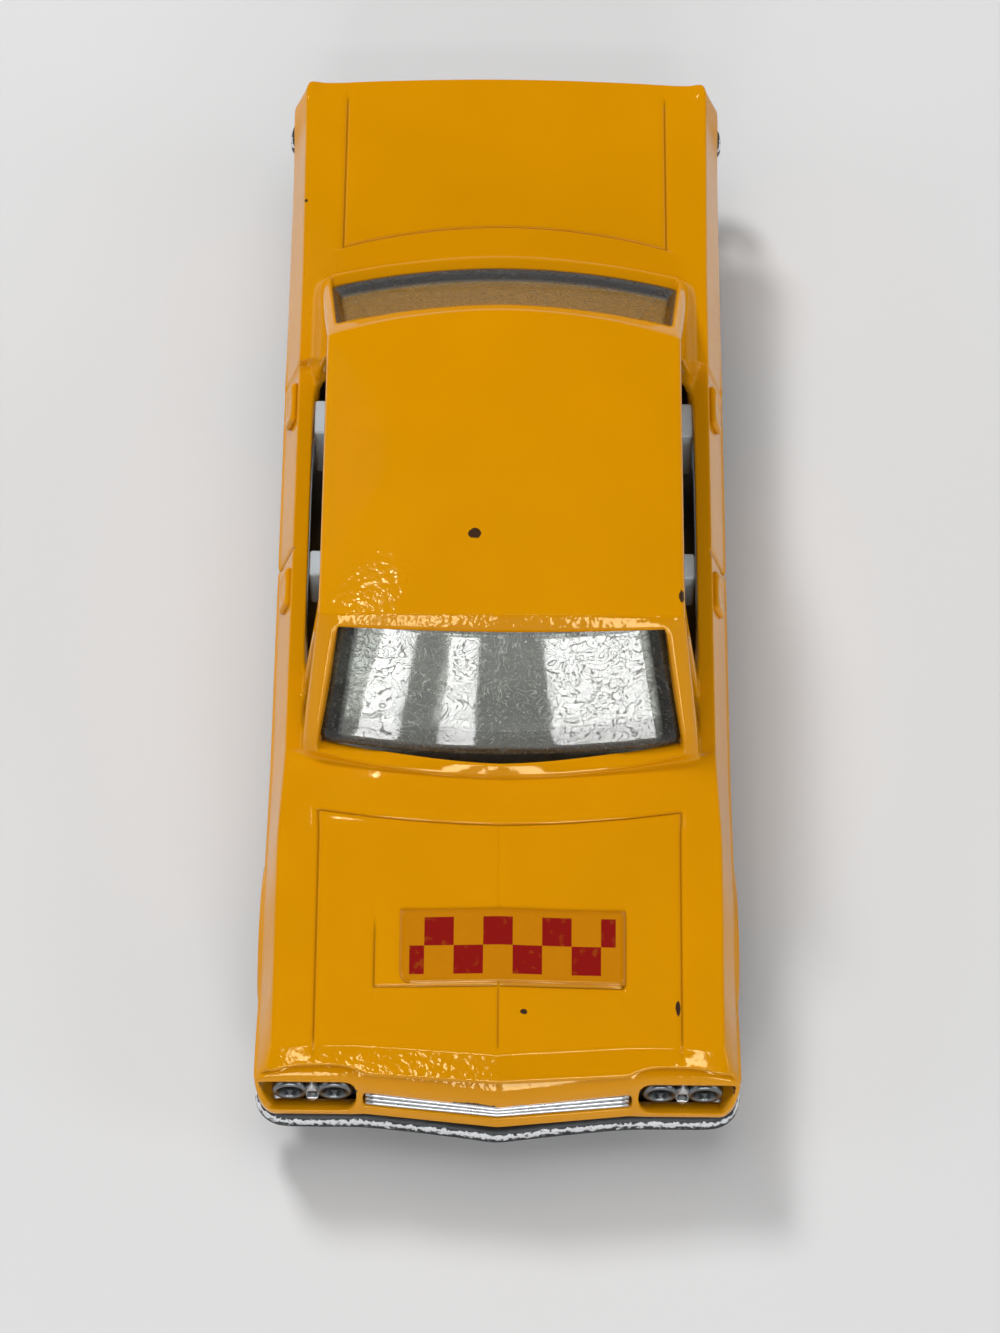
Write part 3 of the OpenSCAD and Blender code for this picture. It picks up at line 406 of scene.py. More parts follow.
    def place_rows(self):
        """Rows across the car, by where they meet the sides. They bow towards the middle by a warp."""
        s, c, w = self.s, self.c, self.s.seam_w
        reach = (self.half_w - s.door_shoulder_tuck)/self.cabin_hw
        self.screen_row_y = self.y_screen + c.screen_bow*reach**2
        self.backlight_row_y = self.y_backlight - c.backlight_bow*reach**2
        self.hood_seam_y = self.y_hood_rear + s.seam_bow
        self.trunk_seam_y = self.y_trunk - s.seam_bow
        self.bracket_y = self.axles[0] - s.frame_l
        self.ledge_y = (self.screen_row_y + 0.3*MM, c.step_y)
        # Each seam has a row in its bottom and one on either rim
        seams = (self.hood_seam_y, self.trunk_seam_y, self.bracket_y, s.door_seam_y)
        rows = [y + side*w for y in seams for side in (-1, 0, 1)]
        rows += [y + share*self.arch_r for y in self.axles for share in self.arch_shares]
        # Rows close together hold the rims at the windows' feet and the step in the door top
        rows += [self.screen_row_y + d*MM for d in (-2.3, -0.85, -0.4, 0)]
        rows += [self.backlight_row_y + d*MM for d in (0, 0.45)]
        rows += [self.ledge_y[0], self.screen_row_y + c.pillar_w, c.vent_post_y, c.vent_post_y + c.vent_post_w]
        rows += [c.step_y - 0.15*MM, c.step_y + 0.15*MM, self.lip_y[0], self.lip_y[1] - s.wall, self.lip_y[1]]
        rows += [y*MM for y in self.plain_rows_mm]
        self.rows = sorted(rows)
        self.nose_gaps = [d*MM for d in (0, 0.4, 0.9)]
        self.tail_gaps = [d*MM for d in (1.4, 0.6, 0.2, 0)]
        # Where each row meets the sides, and where it crosses the car's middle
        trunk_y = self.plain_rows_mm[-1]*MM
        places = ((self.rows[0],)*2, (self.axles[0], self.axles[0]), (self.hood_seam_y, self.y_hood_rear + 0.4*MM),
                  (self.screen_row_y, self.y_screen), (self.backlight_row_y, self.y_backlight),
                  (self.trunk_seam_y, self.y_trunk), (trunk_y, trunk_y + 0.5*MM), (self.rows[-1],)*2)
        self.middles = np.interp(self.rows, *zip(*places))
        self.first_row, self.row_count = len(self.nose_gaps), len(self.nose_gaps + self.rows + self.tail_gaps) - 1
        self.screen_row, self.backlight_row = self.row_at(self.screen_row_y), self.row_at(self.backlight_row_y)

    @property
    def lip_y(self):
        """Where the lower edges of nose and tail come clear of the bumpers."""
        front, rear = self.lip_clear_mm
        return self.y_nose + front*MM, self.y_tail - rear*MM

    def row_at(self, y):
        """Number of the row that meets the sides at y."""
        return self.first_row + int(np.argmin(np.abs(np.array(self.rows) - y)))

    def rounded(self, y):
        """How far a corner's rounding takes the sides in at y."""
        front, rear = y - self.y_nose - self.s.nose_point, self.y_tail - self.s.tail_bow - y
        gap, r = (front, self.s.nose_corner_r) if front < rear else (rear, self.s.corner_r)
        return 0 if gap >= r else r - math.sqrt(max(0, r*r - (r - max(gap, 0))**2))

    def along(self, y, *places):
        """Value at y between (y, value) places."""
        return float(np.interp(y, *zip(*places)))

    def shoulder_hw(self, y):
        """Half width of the body at its shoulder crease."""
        s = self.s
        tuck = self.along(y, (self.y_hood_rear, s.hood_tuck), (self.y_pillar, s.door_shoulder_tuck),
                          (self.y_backlight, s.door_shoulder_tuck), (self.y_tail, s.tail_tuck))
        return self.half_w - tuck - self.shoulder_round*self.rounded(y)

    def shoulder_z(self, y):
        """Height of the shoulder crease."""
        s = self.s
        return self.along(y, (self.y_hood_front, s.front_shoulder_z), (self.y_hood_rear, s.cowl_shoulder_z),
                          (self.y_backlight, s.rear_shoulder_z), (self.y_tail, s.tail_shoulder_z))

    def deck_z(self, y):
        """Height of hood, cowl, shelf and trunk along the middle."""
        s = self.s
        y_hood = (self.y_hood_front + self.y_hood_rear)/2
        hood_z = lerp(s.hood_front_z, s.hood_rear_z, self.hood_swell)
        return self.along(y, (self.y_hood_front, s.hood_front_z), (y_hood, hood_z), (self.y_hood_rear, s.hood_rear_z),
                          (self.y_screen, s.screen_foot_z), (self.y_backlight, s.backlight_foot_z),
                          (self.y_tail, s.deck_rear_z))

    def top_z(self, x, y):
        """Height of the crowned top with the ridge along the hood."""
        share = min(1, abs(x)/self.shoulder_hw(y))
        z = lerp(self.deck_z(y), self.shoulder_z(y), share**self.crown_power)
        if y < self.y_hood_rear:
            fade = min(1, (self.y_hood_rear - y)/self.s.cowl_l, (y - self.y_nose)/self.s.nose_l*0.5)
            z += self.s.ridge_h*max(0, 1 - abs(x)/(self.ridge_hw_mm*MM))*max(0, fade)
        return z

    def foot_z(self, y):
        """Lower edge of the sides without the wheel arches: sill, nose and tail lips."""
        s = self.s
        return self.along(y, (self.lip_y[0], s.nose_lip_z), (self.lip_y[0] + s.wall, s.sill_z),
                          (self.lip_y[1] - s.wall, s.sill_z), (self.lip_y[1], s.tail_lip_z))

    def edge_z(self, y):
        """Lower edge of the sides with the wheel arches."""
        z = self.foot_z(y)
        for axle in self.axles:
            if abs(y - axle) < self.arch_r:
                rise = math.sqrt(1 - ((y - axle)/self.arch_r)**2)
                z = max(z, lerp(self.wheel_r, self.s.arch_top_z, rise))
        return z

    def crease_hw(self, y):
        """Half width of the sides at their crease."""
        tuck = self.along(y, (self.y_hood_front, 0), (self.y_pillar, self.s.door_tuck))
        return self.half_w - tuck - self.rounded(y)

    def side_hw(self, y, z):
        """Half width of the sides at a height."""
        s = self.s
        foot = s.nose_lip_z if y < self.lip_y[0] else s.tail_lip_z if y > self.lip_y[1] else s.sill_z
        c = min(1, max(0, (z - foot)/(self.shoulder_z(y) - foot)))
        crease = self.crease_hw(y)
        if c < self.crease_share:
            tuck = self.along(y, (self.y_nose + s.nose_l, 0.2*s.sill_tuck), (self.lip_y[0], s.sill_tuck))
            sill = self.half_w - tuck - self.rounded(y)
            return lerp(sill, crease, float(np.interp(c/self.crease_share, *self.bulge_shares)))
        return lerp(crease, self.shoulder_hw(y), (c - self.crease_share)/(1 - self.crease_share))

    def nose_y(self, a, c):
        """The nose's place at the share a across and the share c up."""
        blunt = self.s.nose_blunt*min(1, max(0, (c - self.blunt_from)/self.blunt_over))
        point = (self.s.nose_point - blunt)*min(1, abs(a)/self.nose_point_share)
        return self.y_nose + blunt + point + self.s.nose_l*float(np.interp(c, *self.nose_shares))

    def tail_y(self, a, c):
        """The tail's place at the share a across and the share c up."""
        return self.y_tail - self.s.tail_bow*a*a - self.s.tail_undercut*float(np.interp(c, *self.tail_shares))

    def column_share(self, i):
        """Place of a column across the car, as a share of the shoulder's half width."""
        if i >= self.last_column:
            return 1
        return float(self.columns[i][1]/self.shoulder_hw(self.y_hood_rear))

    def column_x(self, i, y):
        """A column's place across the car at y."""
        if i >= self.last_column:
            return self.shoulder_hw(y)
        _, hood, cabin, trunk = self.columns[i]
        return self.along(y, (self.y_hood_rear, hood), (self.y_pillar, cabin),
                          (self.backlight_row_y, cabin), (self.y_trunk - 1.4*MM, trunk))

    def row_y(self, j, a, c):
        """A row's place along the car at the share a across and the share c up."""
        tail_start = self.row_count - len(self.tail_gaps) + 1
        if j < self.first_row:
            return self.nose_y(a, c) + self.nose_gaps[j]
        if j >= tail_start:
            return self.tail_y(a, c) - self.tail_gaps[j - tail_start]
        middle, side = self.middles[j - self.first_row], self.rows[j - self.first_row]
        y = lerp(middle, side, a*a)
        front, rear = self.row_clear_mm
        return min(max(y, self.nose_y(a, c) + front*MM), self.tail_y(a, c) - rear*MM)

    def top_point(self, i, j):
        """A point of hood, shelf, trunk or door top."""
        a = self.column_share(i)
        y = self.row_y(j, a, 1)
        x = self.column_x(i, y)
        z = self.top_z(x, y)
        if i > self.corner_column:
            z += self.s.tip_h*max(0, 1 - (self.y_tail - self.s.tail_bow - y)/(self.tip_l_mm*MM))
        side = y if j < self.first_row else self.row_y(j, 1, 1)
        if i >= self.corner_column and self.ledge_y[0] - MM*0.05 < side < self.ledge_y[1]:
            z = min(z, self.s.ledge_z)
        return Vector((x, y, z))

    def side_point(self, j, k):
        """A point of the sides, with arches, crease and rib."""
        c, first, crease = self.side_shares[k], self.side_shares[1], self.crease_share
        y = self.row_y(j, 1, c)
        foot, head = self.edge_z(y), self.top_point(self.last_column, j).z
        crease_z = max(lerp(self.foot_z(y), head, crease), foot + self.least_side_mm*MM)
        if c > crease:
            up = (c - crease)/(1 - crease)
            x, z = lerp(self.crease_hw(y), self.shoulder_hw(y), up), lerp(crease_z, head, up)
        else:
            lip = min(self.lip_mm*MM, (crease_z - foot)/3)
            z = foot if k == 0 else lerp(foot + lip, crease_z, (c - first)/(crease - first))
            low_z = min(z, lerp(self.foot_z(y), head, crease))
            x = self.crease_hw(y) if k == self.crease_level else self.side_hw(y, low_z)
        x += self.rib_mm.get(k, 0)*MM*self.along(y, (self.c.step_y, 1), (self.c.step_y + self.rib_fade_mm*MM, 0))
        if k < 2 and abs(y - self.axles[0]) < self.arch_r*0.98:
            x = self.crease_hw(y) + self.s.arch_lip
        return Vector((x, y, z))

    # Nose levels: heights at the lamps, at the grille's end and at its middle, then setbacks behind the nose's line, mm
    nose_levels_mm = ((4.9, 4.9, 4.95, -0.1, -0.05, 0.05), (5.25, 5.3, 5.45, -0.2, -0.05, 0.1),
                      (5.65, 5.85, 5.9, -0.2, 0.1, 0.3), (7.95, 6.95, 6.95, 0.65, 0.4, 0.4),
                      (8.5, 7.95, 7.95, 0.78, 0.45, 0.62), (9.0, 8.7, 8.8, 1.42, 0.98, 1.4),
                      (9.25, 8.95, 9.05, 1.2, 0.7, 1.12))
    # How far each level follows the nose's own columns rather than the hood's
    nose_spread = (1, 1, 1, 1, 0.85, 0.55, 0.4, 0, 0)
    # How far the brow drops at the three outermost columns, mm
    brow_drop_mm = (0.08, 0.22, 0.4)
    brow_level = len(nose_levels_mm) - 1
    under_brow = brow_level - 1
    # The openings for lamps and grille lie between this level and the next
    slot_level = 2
    # Levels of the recessed panel in the tail
    panel_levels = range(2, 7)

    def nose_level(self, i, x, k):
        """Height and setback of the nose at x on level k."""
        low, grille = self.nose_levels_mm[k], float(self.columns[self.grille_column][0])
        if i >= self.lamp_column:
            drops = i >= self.corner_column and k >= self.under_brow
            end = self.brow_drop_mm[i - self.corner_column] if drops else 0
            return (low[0] - end)*MM, (low[3] - end)*MM
        t = min(1, x/grille)
        return lerp(low[2], low[1], t)*MM, lerp(low[5], low[4], t)*MM

    def nose_point_at(self, i, k):
        """A point of the nose: lips, lamp and grille openings, the brow over them and the slope up to the hood."""
        corner, brow = i >= self.last_column, self.brow_level
        crease = self.top_point(i, 0)
        x = crease.x if corner else lerp(crease.x, float(self.columns[i][0]), self.nose_spread[k])
        z, back = self.nose_level(i, x, min(k, brow))
        y = self.y_nose + self.s.nose_point*min(1, x/self.half_w/self.nose_point_share) + back
        if k > brow:
            up = (k - brow)/(self.levels - brow)
            y, z = lerp(y, crease.y, up), lerp(z, crease.z, up)
        if corner:
            x = self.side_hw(y, z)
        return Vector((x, y, z))

    def tail_point(self, i, k):
        """A point of the tail with its recessed panel."""
        corner = i >= self.last_column
        a = self.column_share(i)
        head = self.top_point(i, self.row_count)
        z = lerp(self.s.tail_lip_z, head.z, self.side_shares[k])
        y = self.tail_y(a, self.side_shares[k])
        x = self.side_hw(y, z) if corner else head.x
        if i <= self.corner_column and k in self.panel_levels:
            y -= self.s.panel_depth
        return Vector((x, y, z))

    def body_point(self, i, j, k):
        """Where a point of the body lattice lies."""
        if k == self.levels:
            return self.top_point(i, j)
        if j == 0:
            return self.nose_point_at(i, k)
        if j == self.row_count:
            return self.tail_point(i, k)
        return self.side_point(j, k)

    def screen_y(self, a, z):
        """The windscreen's place at the share a across and the height z."""
        rise = (z - self.s.screen_foot_z)/(self.c.roof_edge_z - self.s.screen_foot_z)
        return lerp(self.y_screen + self.c.screen_bow*a*a, self.y_roof_front + self.c.roof_front_bow*a*a, rise)

    def backlight_y(self, a, z):
        """The rear window's place at the share a across and the height z."""
        rise = (z - self.s.backlight_foot_z)/(self.c.roof_edge_z - self.s.backlight_foot_z)
        return lerp(self.y_backlight, self.y_roof_rear, rise) - self.c.backlight_bow*a*a

    def roof_share(self, j):
        """Where a row of the cabin meets the roof's edge, as a share from front to rear."""
        c = self.c
        front, rear = self.screen_y(1, c.roof_edge_z), self.backlight_y(1, c.roof_edge_z)
        feet = (self.screen_row_y + c.pillar_w, c.vent_post_y, c.vent_post_y + c.vent_post_w)
        posts = [(foot, front + head*MM) for foot, head in zip(feet, self.post_heads_mm)]
        plain = [(foot*MM, head*MM) for foot, head in self.roof_rows_mm]
        places = ((self.screen_row_y, front), *posts, *plain, (c.window_end_y, rear - self.window_head_mm*MM),
                  (self.backlight_row_y, rear))
        return (self.along(self.rows[j - self.first_row], *places) - front)/(rear - front)

    def column_in_cabin(self, i, b, c):
        """Share across the cabin: the window openings narrow a little towards the roof."""
        if i == self.corner_column:
            return 1
        base = float(self.columns[i][2])/self.cabin_hw
        return base*lerp(lerp(*self.screen_spread, c), lerp(*self.backlight_spread, c), b)

    # Levels of the cabin: its foot, the window openings' four levels as shares of their height, the roof's edge
    cabin_shares = (0, 0.34, 0.68, 1)
    head_level = len(cabin_shares)
    roof_level = head_level + 1

    def on_bead(self, i, m):
        """Whether a point on the cabin's first or last row lies on the bead round the window."""
        head = self.head_level
        return i <= self.edge_column and 1 <= m <= head and (i == self.edge_column or m in (1, head))

    def crown(self, a, b):
        """How far the roof rises over its edge at the share a across and the share b along it."""
        return self.c.roof_crown*(1 - abs(a)**self.crown_power)*(1 - abs(2*b - 1)**self.crown_power/2)

    def cabin_point(self, i, j, m):
        """A point of the cabin, from the level m = 0 where it stands on the body up to the roof."""
        if m == 0:
            return self.top_point(i, j)
        s, c = self.s, self.c
        b = self.roof_share(j)
        low = lerp(s.screen_foot_z + c.screen_rim, s.backlight_foot_z + c.backlight_rim, b)
        high = c.roof_edge_z - lerp(c.screen_header, c.backlight_header, b)
        z = c.roof_edge_z if m == self.roof_level else lerp(low, high, self.cabin_shares[m - 1])
        rise = (z - s.ledge_z)/(c.roof_edge_z - s.ledge_z)
        a = self.column_in_cabin(i, b, (z - low)/(high - low))
        x = a*lerp(self.cabin_hw, self.roof_hw, rise)
        front, rear = self.screen_y(a, z), self.backlight_y(a, z)
        if j in (self.screen_row, self.backlight_row):
            y = front if j == self.screen_row else rear
            if self.on_bead(i, m):
                y += c.bead*(-1 if j == self.screen_row else 1)
        elif m == self.roof_level:
            y = lerp(front, rear, b)
        else:
            edge = lerp(self.screen_y(1, c.roof_edge_z), self.backlight_y(1, c.roof_edge_z), b)
            y = lerp(self.top_point(i, j).y, edge, rise)
        if m == self.roof_level:
            z += self.crown(a, b)
        return Vector((x, y, z))


# Slack, in lattice cells, in telling whether a face lies on an outer side of its lattice
NEAR = 0.01
# Wall thickness as shares of the casting's: at lamps and tail, and over the wheels
THIN_WALL, ARCH_WALL = 0.35, 0.6
# How crisp the roof's edge and the beads round the windows stay
ROOF_CRISP, BEAD_CRISP = 0.5, 0.35


def body_casting_mesh(skin):
    """The outer skin of the body's right half, mapped from two lattices that share the cabin's foot."""
    bm = lattice_box((skin.last_column, skin.row_count, skin.levels))
    top, last = skin.levels, skin.last_column

    def unwanted(face):
        """Whether a face is in the middle, at the foot, under the cabin or in an opening for lamps or grille."""
        i, j, k = face.calc_center_median()
        if i < NEAR or k < NEAR:
            return True
        if k > top - NEAR:
            return i < skin.corner_column and skin.screen_row < j < skin.backlight_row
        if not skin.slot_level < k < skin.slot_level + 1:
            return False
        if i > last - NEAR and j < 1:
            return True
        return j < NEAR and (i < skin.grille_column or i > skin.lamp_column)

    groove = bm.verts.layers.float.new("groove")
    walls = bm.verts.layers.deform.verify()
    crease = bm.edges.layers.float.new("crease_edge")
    bmesh.ops.delete(bm, geom=[f for f in bm.faces if unwanted(f)], context="FACES")
    for e in bm.edges:
        e[crease] = sharpness(skin, *(tuple(round(n) for n in v.co) for v in e.verts))
    for v in bm.verts:
        i, j, k = (round(n) for n in v.co)
        v.co = skin.body_point(i, j, k)
        v[groove] = engraved(skin, i, j, k)
        thin_nose = j < skin.first_row and i >= skin.lamp_column and skin.slot_level <= k < skin.under_brow
        over_wheel = i == last and min(abs(v.co.y - y) for y in skin.axles) < skin.arch_r
        thin_tail = j == skin.row_count and k > skin.crease_level
        v[walls][0] = THIN_WALL if thin_nose or thin_tail else ARCH_WALL if over_wheel else 1

    cabin = lattice_box((skin.corner_column, skin.backlight_row - skin.screen_row, skin.roof_level))
    rows = cabin_rows(skin)

    def open_side(face):
        """Whether a face of the cabin is in the middle, at its foot or in a window's opening."""
        i, j, m = face.calc_center_median()
        j += skin.screen_row
        if i < NEAR or m < NEAR:
            return True
        if m > skin.roof_level - NEAR:
            return False
        if i > skin.corner_column - NEAR:
            vent = rows["pillar"] < j < rows["vent"] and m < skin.head_level - 1
            return vent or (rows["vent"] + 1 < j < rows["end"] and m < skin.head_level)
        return i < skin.edge_column and 1 < m < skin.head_level

    bmesh.ops.delete(cabin, geom=[f for f in cabin.faces if open_side(f)], context="FACES")
    cabin_crease = cabin.edges.layers.float.new("crease_edge")
    ends = (0, skin.backlight_row - skin.screen_row)

    for e in cabin.edges:
        p, q = ([round(n) for n in v.co] for v in e.verts)
        across = p[1] == q[1] and p[1] in ends
        if p[2] == q[2] == skin.roof_level and (across or p[0] == q[0] == skin.corner_column):
            e[cabin_crease] = ROOF_CRISP
        elif across and skin.on_bead(p[0], p[2]) and skin.on_bead(q[0], q[2]):
            e[cabin_crease] = BEAD_CRISP
    cabin_walls = cabin.verts.layers.deform.verify()
    for v in cabin.verts:
        i, j, m = (round(n) for n in v.co)
        v.co = skin.cabin_point(i, j + skin.screen_row, m)
        v[cabin_walls][0] = 1
    join(bm, cabin)
    bmesh.ops.remove_doubles(bm, verts=bm.verts, dist=2e-6)
    bmesh.ops.recalc_face_normals(bm, faces=bm.faces)
    for v in bm.verts:
        if v[groove] > 0:
            along = v.normal*Vector((0, 1, 1)) if v.co.x < 1e-6 else v.normal
            v.co -= along*skin.s.seam_depth*v[groove]
    return bm


def sharpness(skin, p, q):
    """How crisp an edge between two lattice points stays: brow, hood crease, shoulders and side crease."""
    across = int(p[1] == q[1])
    for step, crisp in ((0, 0.6), (-1, 0.35), (1, 0.35)):
        near = [[n + step*(axis == across) for axis, n in enumerate(point)] for point in (p, q)]
        if all(engraved(skin, *point) for point in near):
            return crisp
    if p[2] != q[2]:
        return 0
    if p[1] == q[1] == 0:
        return {skin.brow_level: 0.85, skin.levels: 0.5}.get(p[2], 0)
    if p[1] == q[1] == skin.row_count:
        return 0.7 if p[2] == skin.levels else 0
    if p[0] == q[0] == skin.last_column:
        return {skin.crease_level: 0.7, skin.rib_level: 0.5, skin.levels: 0.75}.get(p[2], 0)
    if p[0] == q[0] == skin.corner_column and skin.screen_row < p[1] < skin.row_at(skin.c.step_y):
        return 0.6
    return 0


def cabin_rows(skin):
    """Rows at the rear edge of the windscreen pillar, at the vent post and at the side window's end."""
    c = skin.c
    return {"pillar": skin.row_at(skin.screen_row_y + c.pillar_w), "vent": skin.row_at(c.vent_post_y),
            "end": skin.row_at(c.window_end_y)}


def engraved(skin, i, j, k):
    """How much of the seam depth a lattice point takes: 1 along hood, trunk, bracket and door seams. The enamel takes
    as much painted shade and dirt there.
    """
    if k == skin.levels:
        hood, trunk = skin.row_at(skin.hood_seam_y), skin.row_at(skin.trunk_seam_y)
        bracket = skin.row_at(skin.bracket_y)
        if i == skin.panel_column and (1 <= j <= hood or trunk <= j < skin.row_count - 2):
            return 1
        if j in (hood, trunk) and i <= skin.panel_column:
            return 1
        if i == 0 and 1 <= j < hood:
            return 0.9 if j < bracket else 0.4
        if j == bracket and i <= skin.bracket_column:
            return 1
        if i == skin.bracket_column and bracket <= j <= skin.row_at(skin.axles[0] - 0.4*skin.arch_r):
            return 1
    if j == 0 and i == skin.panel_column and k > skin.brow_level:
        return 0.7
    if j == 0 and k == skin.under_brow:
        return 0.9
    if i == skin.last_column and j == skin.row_at(skin.s.door_seam_y):
        return 1
    return 0


class TAXI_OT_body(bpy.types.Operator):
    """Model the enamelled body casting"""
    bl_idname = "taxi.body"
    bl_label = "Body casting"

    def execute(self, context):
        scene = context.scene
        skin = skin_of(scene)
        obj = new_object("body_casting", body_casting_mesh(skin), enamel_material(scene.taxi_colours))
        mirror = obj.modifiers.new("halves", "MIRROR")
        mirror.merge_threshold = 1e-5
        wall = obj.modifiers.new("wall", "SOLIDIFY")
        wall.thickness = skin.s.wall
        wall.vertex_group = obj.vertex_groups.new(name="wall").name
        wall.offset = -1
        wall.edge_crease_outer = wall.edge_crease_inner = 0.4
        subdivided(obj)
        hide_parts("body_shell")
        return {"FINISHED"}


def skin_of(scene):
    """The painted skin with the scene's sizes."""
    return Skin(scene.taxi_body, scene.taxi_cabin)


def nose_line(skin, x, depth=0):
    """The nose's plan line at x, a depth behind it."""
    share = min(1, abs(x)/(skin.half_w*skin.nose_point_share))
    return skin.y_nose + skin.s.nose_point*share + depth


def bumper_mesh(s, y_of, turn, z, height):
    """A bumper swept across the car and round both corners: plump section, flat front band."""
    hw = (s.bumper_w - s.bumper_t)/2
    flat = hw - s.bumper_t
    path = [(x, y_of(x), 0) for x in np.linspace(-flat, flat, 25)]
    corner = y_of(flat)
    arc = [(flat + s.bumper_t*math.sin(t), corner + turn*s.bumper_t*(1 - math.cos(t)), t)
           for t in np.radians((22.5, 45, 67.5, 90))]
    arc.append((hw, corner + turn*(s.bumper_t + s.wrap_l), math.pi/2))
    path = [(-x, y, -t) for x, y, t in reversed(arc)] + path + arc
    out = (-1, -0.55, 0.4, 1)
    up = (-1, -0.62, 0.35, 1)
    pinch = {0: 0.72, 3: 0.78}

    def place(i, j, k):
        x, y, t = path[i]
        u, v = out[j]*pinch.get(k, 1), up[k]*pinch.get(j, 1)
        if k == 0 and u > 0:
            u *= 0.35
        if i in (0, len(path) - 1):
            u, v = 0.8*u, 0.8*v
        d = u*s.bumper_t/2
        return Vector((x + math.sin(t)*d, y - turn*math.cos(t)*d, z + v*height/2))

    return mapped((len(path) - 1, 3, 3), place)


def plate_mesh(skin, s):
    """The plate with its wheel openings and the pad between the axles."""
    half = skin.half_w - skin.s.sill_tuck - skin.s.wall - s.gap
    well = skin.wheel_r + 0.2*MM
    pad_y = sum(skin.axles)/2
    xs = [-half, -s.pad_w/2, -s.bearing_x, s.bearing_x, s.pad_w/2, half]
    ys = [skin.y_nose + skin.s.nose_point + s.bumper_t/2, skin.axles[0] - well, skin.axles[0] + well,
          pad_y - s.pad_l/2, pad_y + s.pad_l/2, skin.axles[1] - well, skin.axles[1] + well, apron_y(skin)]
    bm = bmesh.new()
    bmesh.ops.create_grid(bm, x_segments=len(xs) - 1, y_segments=len(ys) - 1, size=1)
    for v in bm.verts:
        i, j = round((v.co.x + 1)/2*(len(xs) - 1)), round((v.co.y + 1)/2*(len(ys) - 1))
        v.co = (xs[i], ys[j], s.plate_z + s.plate_t)
    centre = {f: f.calc_center_median() for f in bm.faces}
    wells = [f for f, c in centre.items()
             if abs(c.x) > s.bearing_x and min(abs(c.y - y) for y in skin.axles) < skin.wheel_r]
    bmesh.ops.delete(bm, geom=wells, context="FACES")
    made = bmesh.ops.extrude_face_region(bm, geom=bm.faces[:])["geom"]
    bmesh.ops.translate(bm, verts=[g for g in made if isinstance(g, bmesh.types.BMVert)], vec=(0, 0, -s.plate_t))
    bmesh.ops.recalc_face_normals(bm, faces=bm.faces)
    pad = [f for f in bm.faces if f.normal.z < -0.9 and abs(f.calc_center_median().x) < s.pad_w/2
           and abs(f.calc_center_median().y - pad_y) < s.pad_l/2]
    made = bmesh.ops.extrude_face_region(bm, geom=pad)["geom"]
    verts = [g for g in made if isinstance(g, bmesh.types.BMVert)]
    bmesh.ops.delete(bm, geom=pad, context="FACES")
    bmesh.ops.translate(bm, verts=verts, vec=(0, 0, s.pad_z - s.plate_z))
    sharp = [e for e in bm.edges if e.is_manifold and e.calc_face_angle() > 0.5]
    bmesh.ops.bevel(bm, geom=sharp, offset=0.18*MM, segments=2, profile=0.5, affect="EDGES", material=-1)
    return bm


def apron_y(skin):
    """Rear end of the base plate, under the tail."""
    return skin.y_tail - 1.4*MM


class TAXI_OT_base(bpy.types.Operator):
    """Model the metal base with bearings, bumpers, headlamps and grille"""
    bl_idname = "taxi.base"
    bl_label = "Metal base"

    def execute(self, context):
        scene = context.scene
        skin, s = skin_of(scene), scene.taxi_base
        zinc, silver = zinc_material(scene.taxi_colours), silver_material(scene.taxi_colours)
        half = skin.half_w - skin.s.sill_tuck - skin.s.wall - s.gap
        bm = plate_mesh(skin, s)
        for y in skin.axles:
            for side in (-1, 1):
                x = sorted((side*s.bearing_x, side*(s.bearing_x - s.bearing_w)))
                join(bm, block((x[0], y - s.bearing_l/2, s.plate_z + s.plate_t/2),
                               (x[1], y + s.bearing_l/2, s.bearing_z), 0.35*MM, 3))
        rear_z = skin.s.tail_lip_z - s.gap - s.rear_bumper_h/2
        y_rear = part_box("base_plate")[1].y - s.bumper_t/2
        join(bm, block((-half, apron_y(skin) - 0.4*MM, s.plate_z),
                       (half, apron_y(skin) + 0.6*MM, rear_z + s.rear_bumper_h/4), 0.2*MM))
        join(bm, block((-half, apron_y(skin), rear_z - s.rear_bumper_h/4),
                       (half, y_rear - skin.s.tail_bow, rear_z + s.rear_bumper_h/4), 0.2*MM))
        heights = (s.plate_z, s.back_top_z)
        join(bm, mapped((24, 1, 1), lambda i, j, k: Vector((
            lerp(-half, half, i/24), nose_line(skin, lerp(-half, half, i/24), s.back_depth + j*skin.s.wall),
            heights[k]))))
        pieces = [new_object("base_casting", bm, zinc)]

        y_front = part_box("base_plate")[0].y + s.bumper_t/2
        front_z = skin.s.nose_lip_z - s.gap - s.front_bumper_h/2
        point, reach = skin.s.nose_point, 8.6*MM

        def front_line(x):
            share = min(1, abs(x)/reach)
            return y_front + point*(1 - (1 - share)**1.25)

        front = bumper_mesh(s, front_line, 1, front_z, s.front_bumper_h)
        rear = bumper_mesh(s, lambda x: y_rear - skin.s.tail_bow*(x/skin.half_w)**2, -1, rear_z, s.rear_bumper_h)
        bumper = bumper_material(scene.taxi_colours)
        pieces += [subdivided(new_object("front_bumper", front, bumper)),
                   subdivided(new_object("rear_bumper", rear, bumper))]
        pieces += [new_object("headlamps", headlamp_mesh(skin, s), lamp_material(scene.taxi_colours)),
                   new_object("lamp_brackets", lamp_bracket_mesh(skin, s), silver),
                   new_object("grille", grille_mesh(skin, s), silver)]
        for piece in pieces:
            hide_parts("base_plate")
        return {"FINISHED"}


# Half section of a headlamp as shares of its radius and depth: dished lens, rounded rim, body behind
LAMP_SECTION = ((0, 0.4), (0.22, 0.42), (0.44, 0.4), (0.56, 0.3), (0.62, 0.14), (0.7, 0.03), (0.8, 0), (0.92, 0.02),
                (1, 0.12), (1, 1), (0, 1))


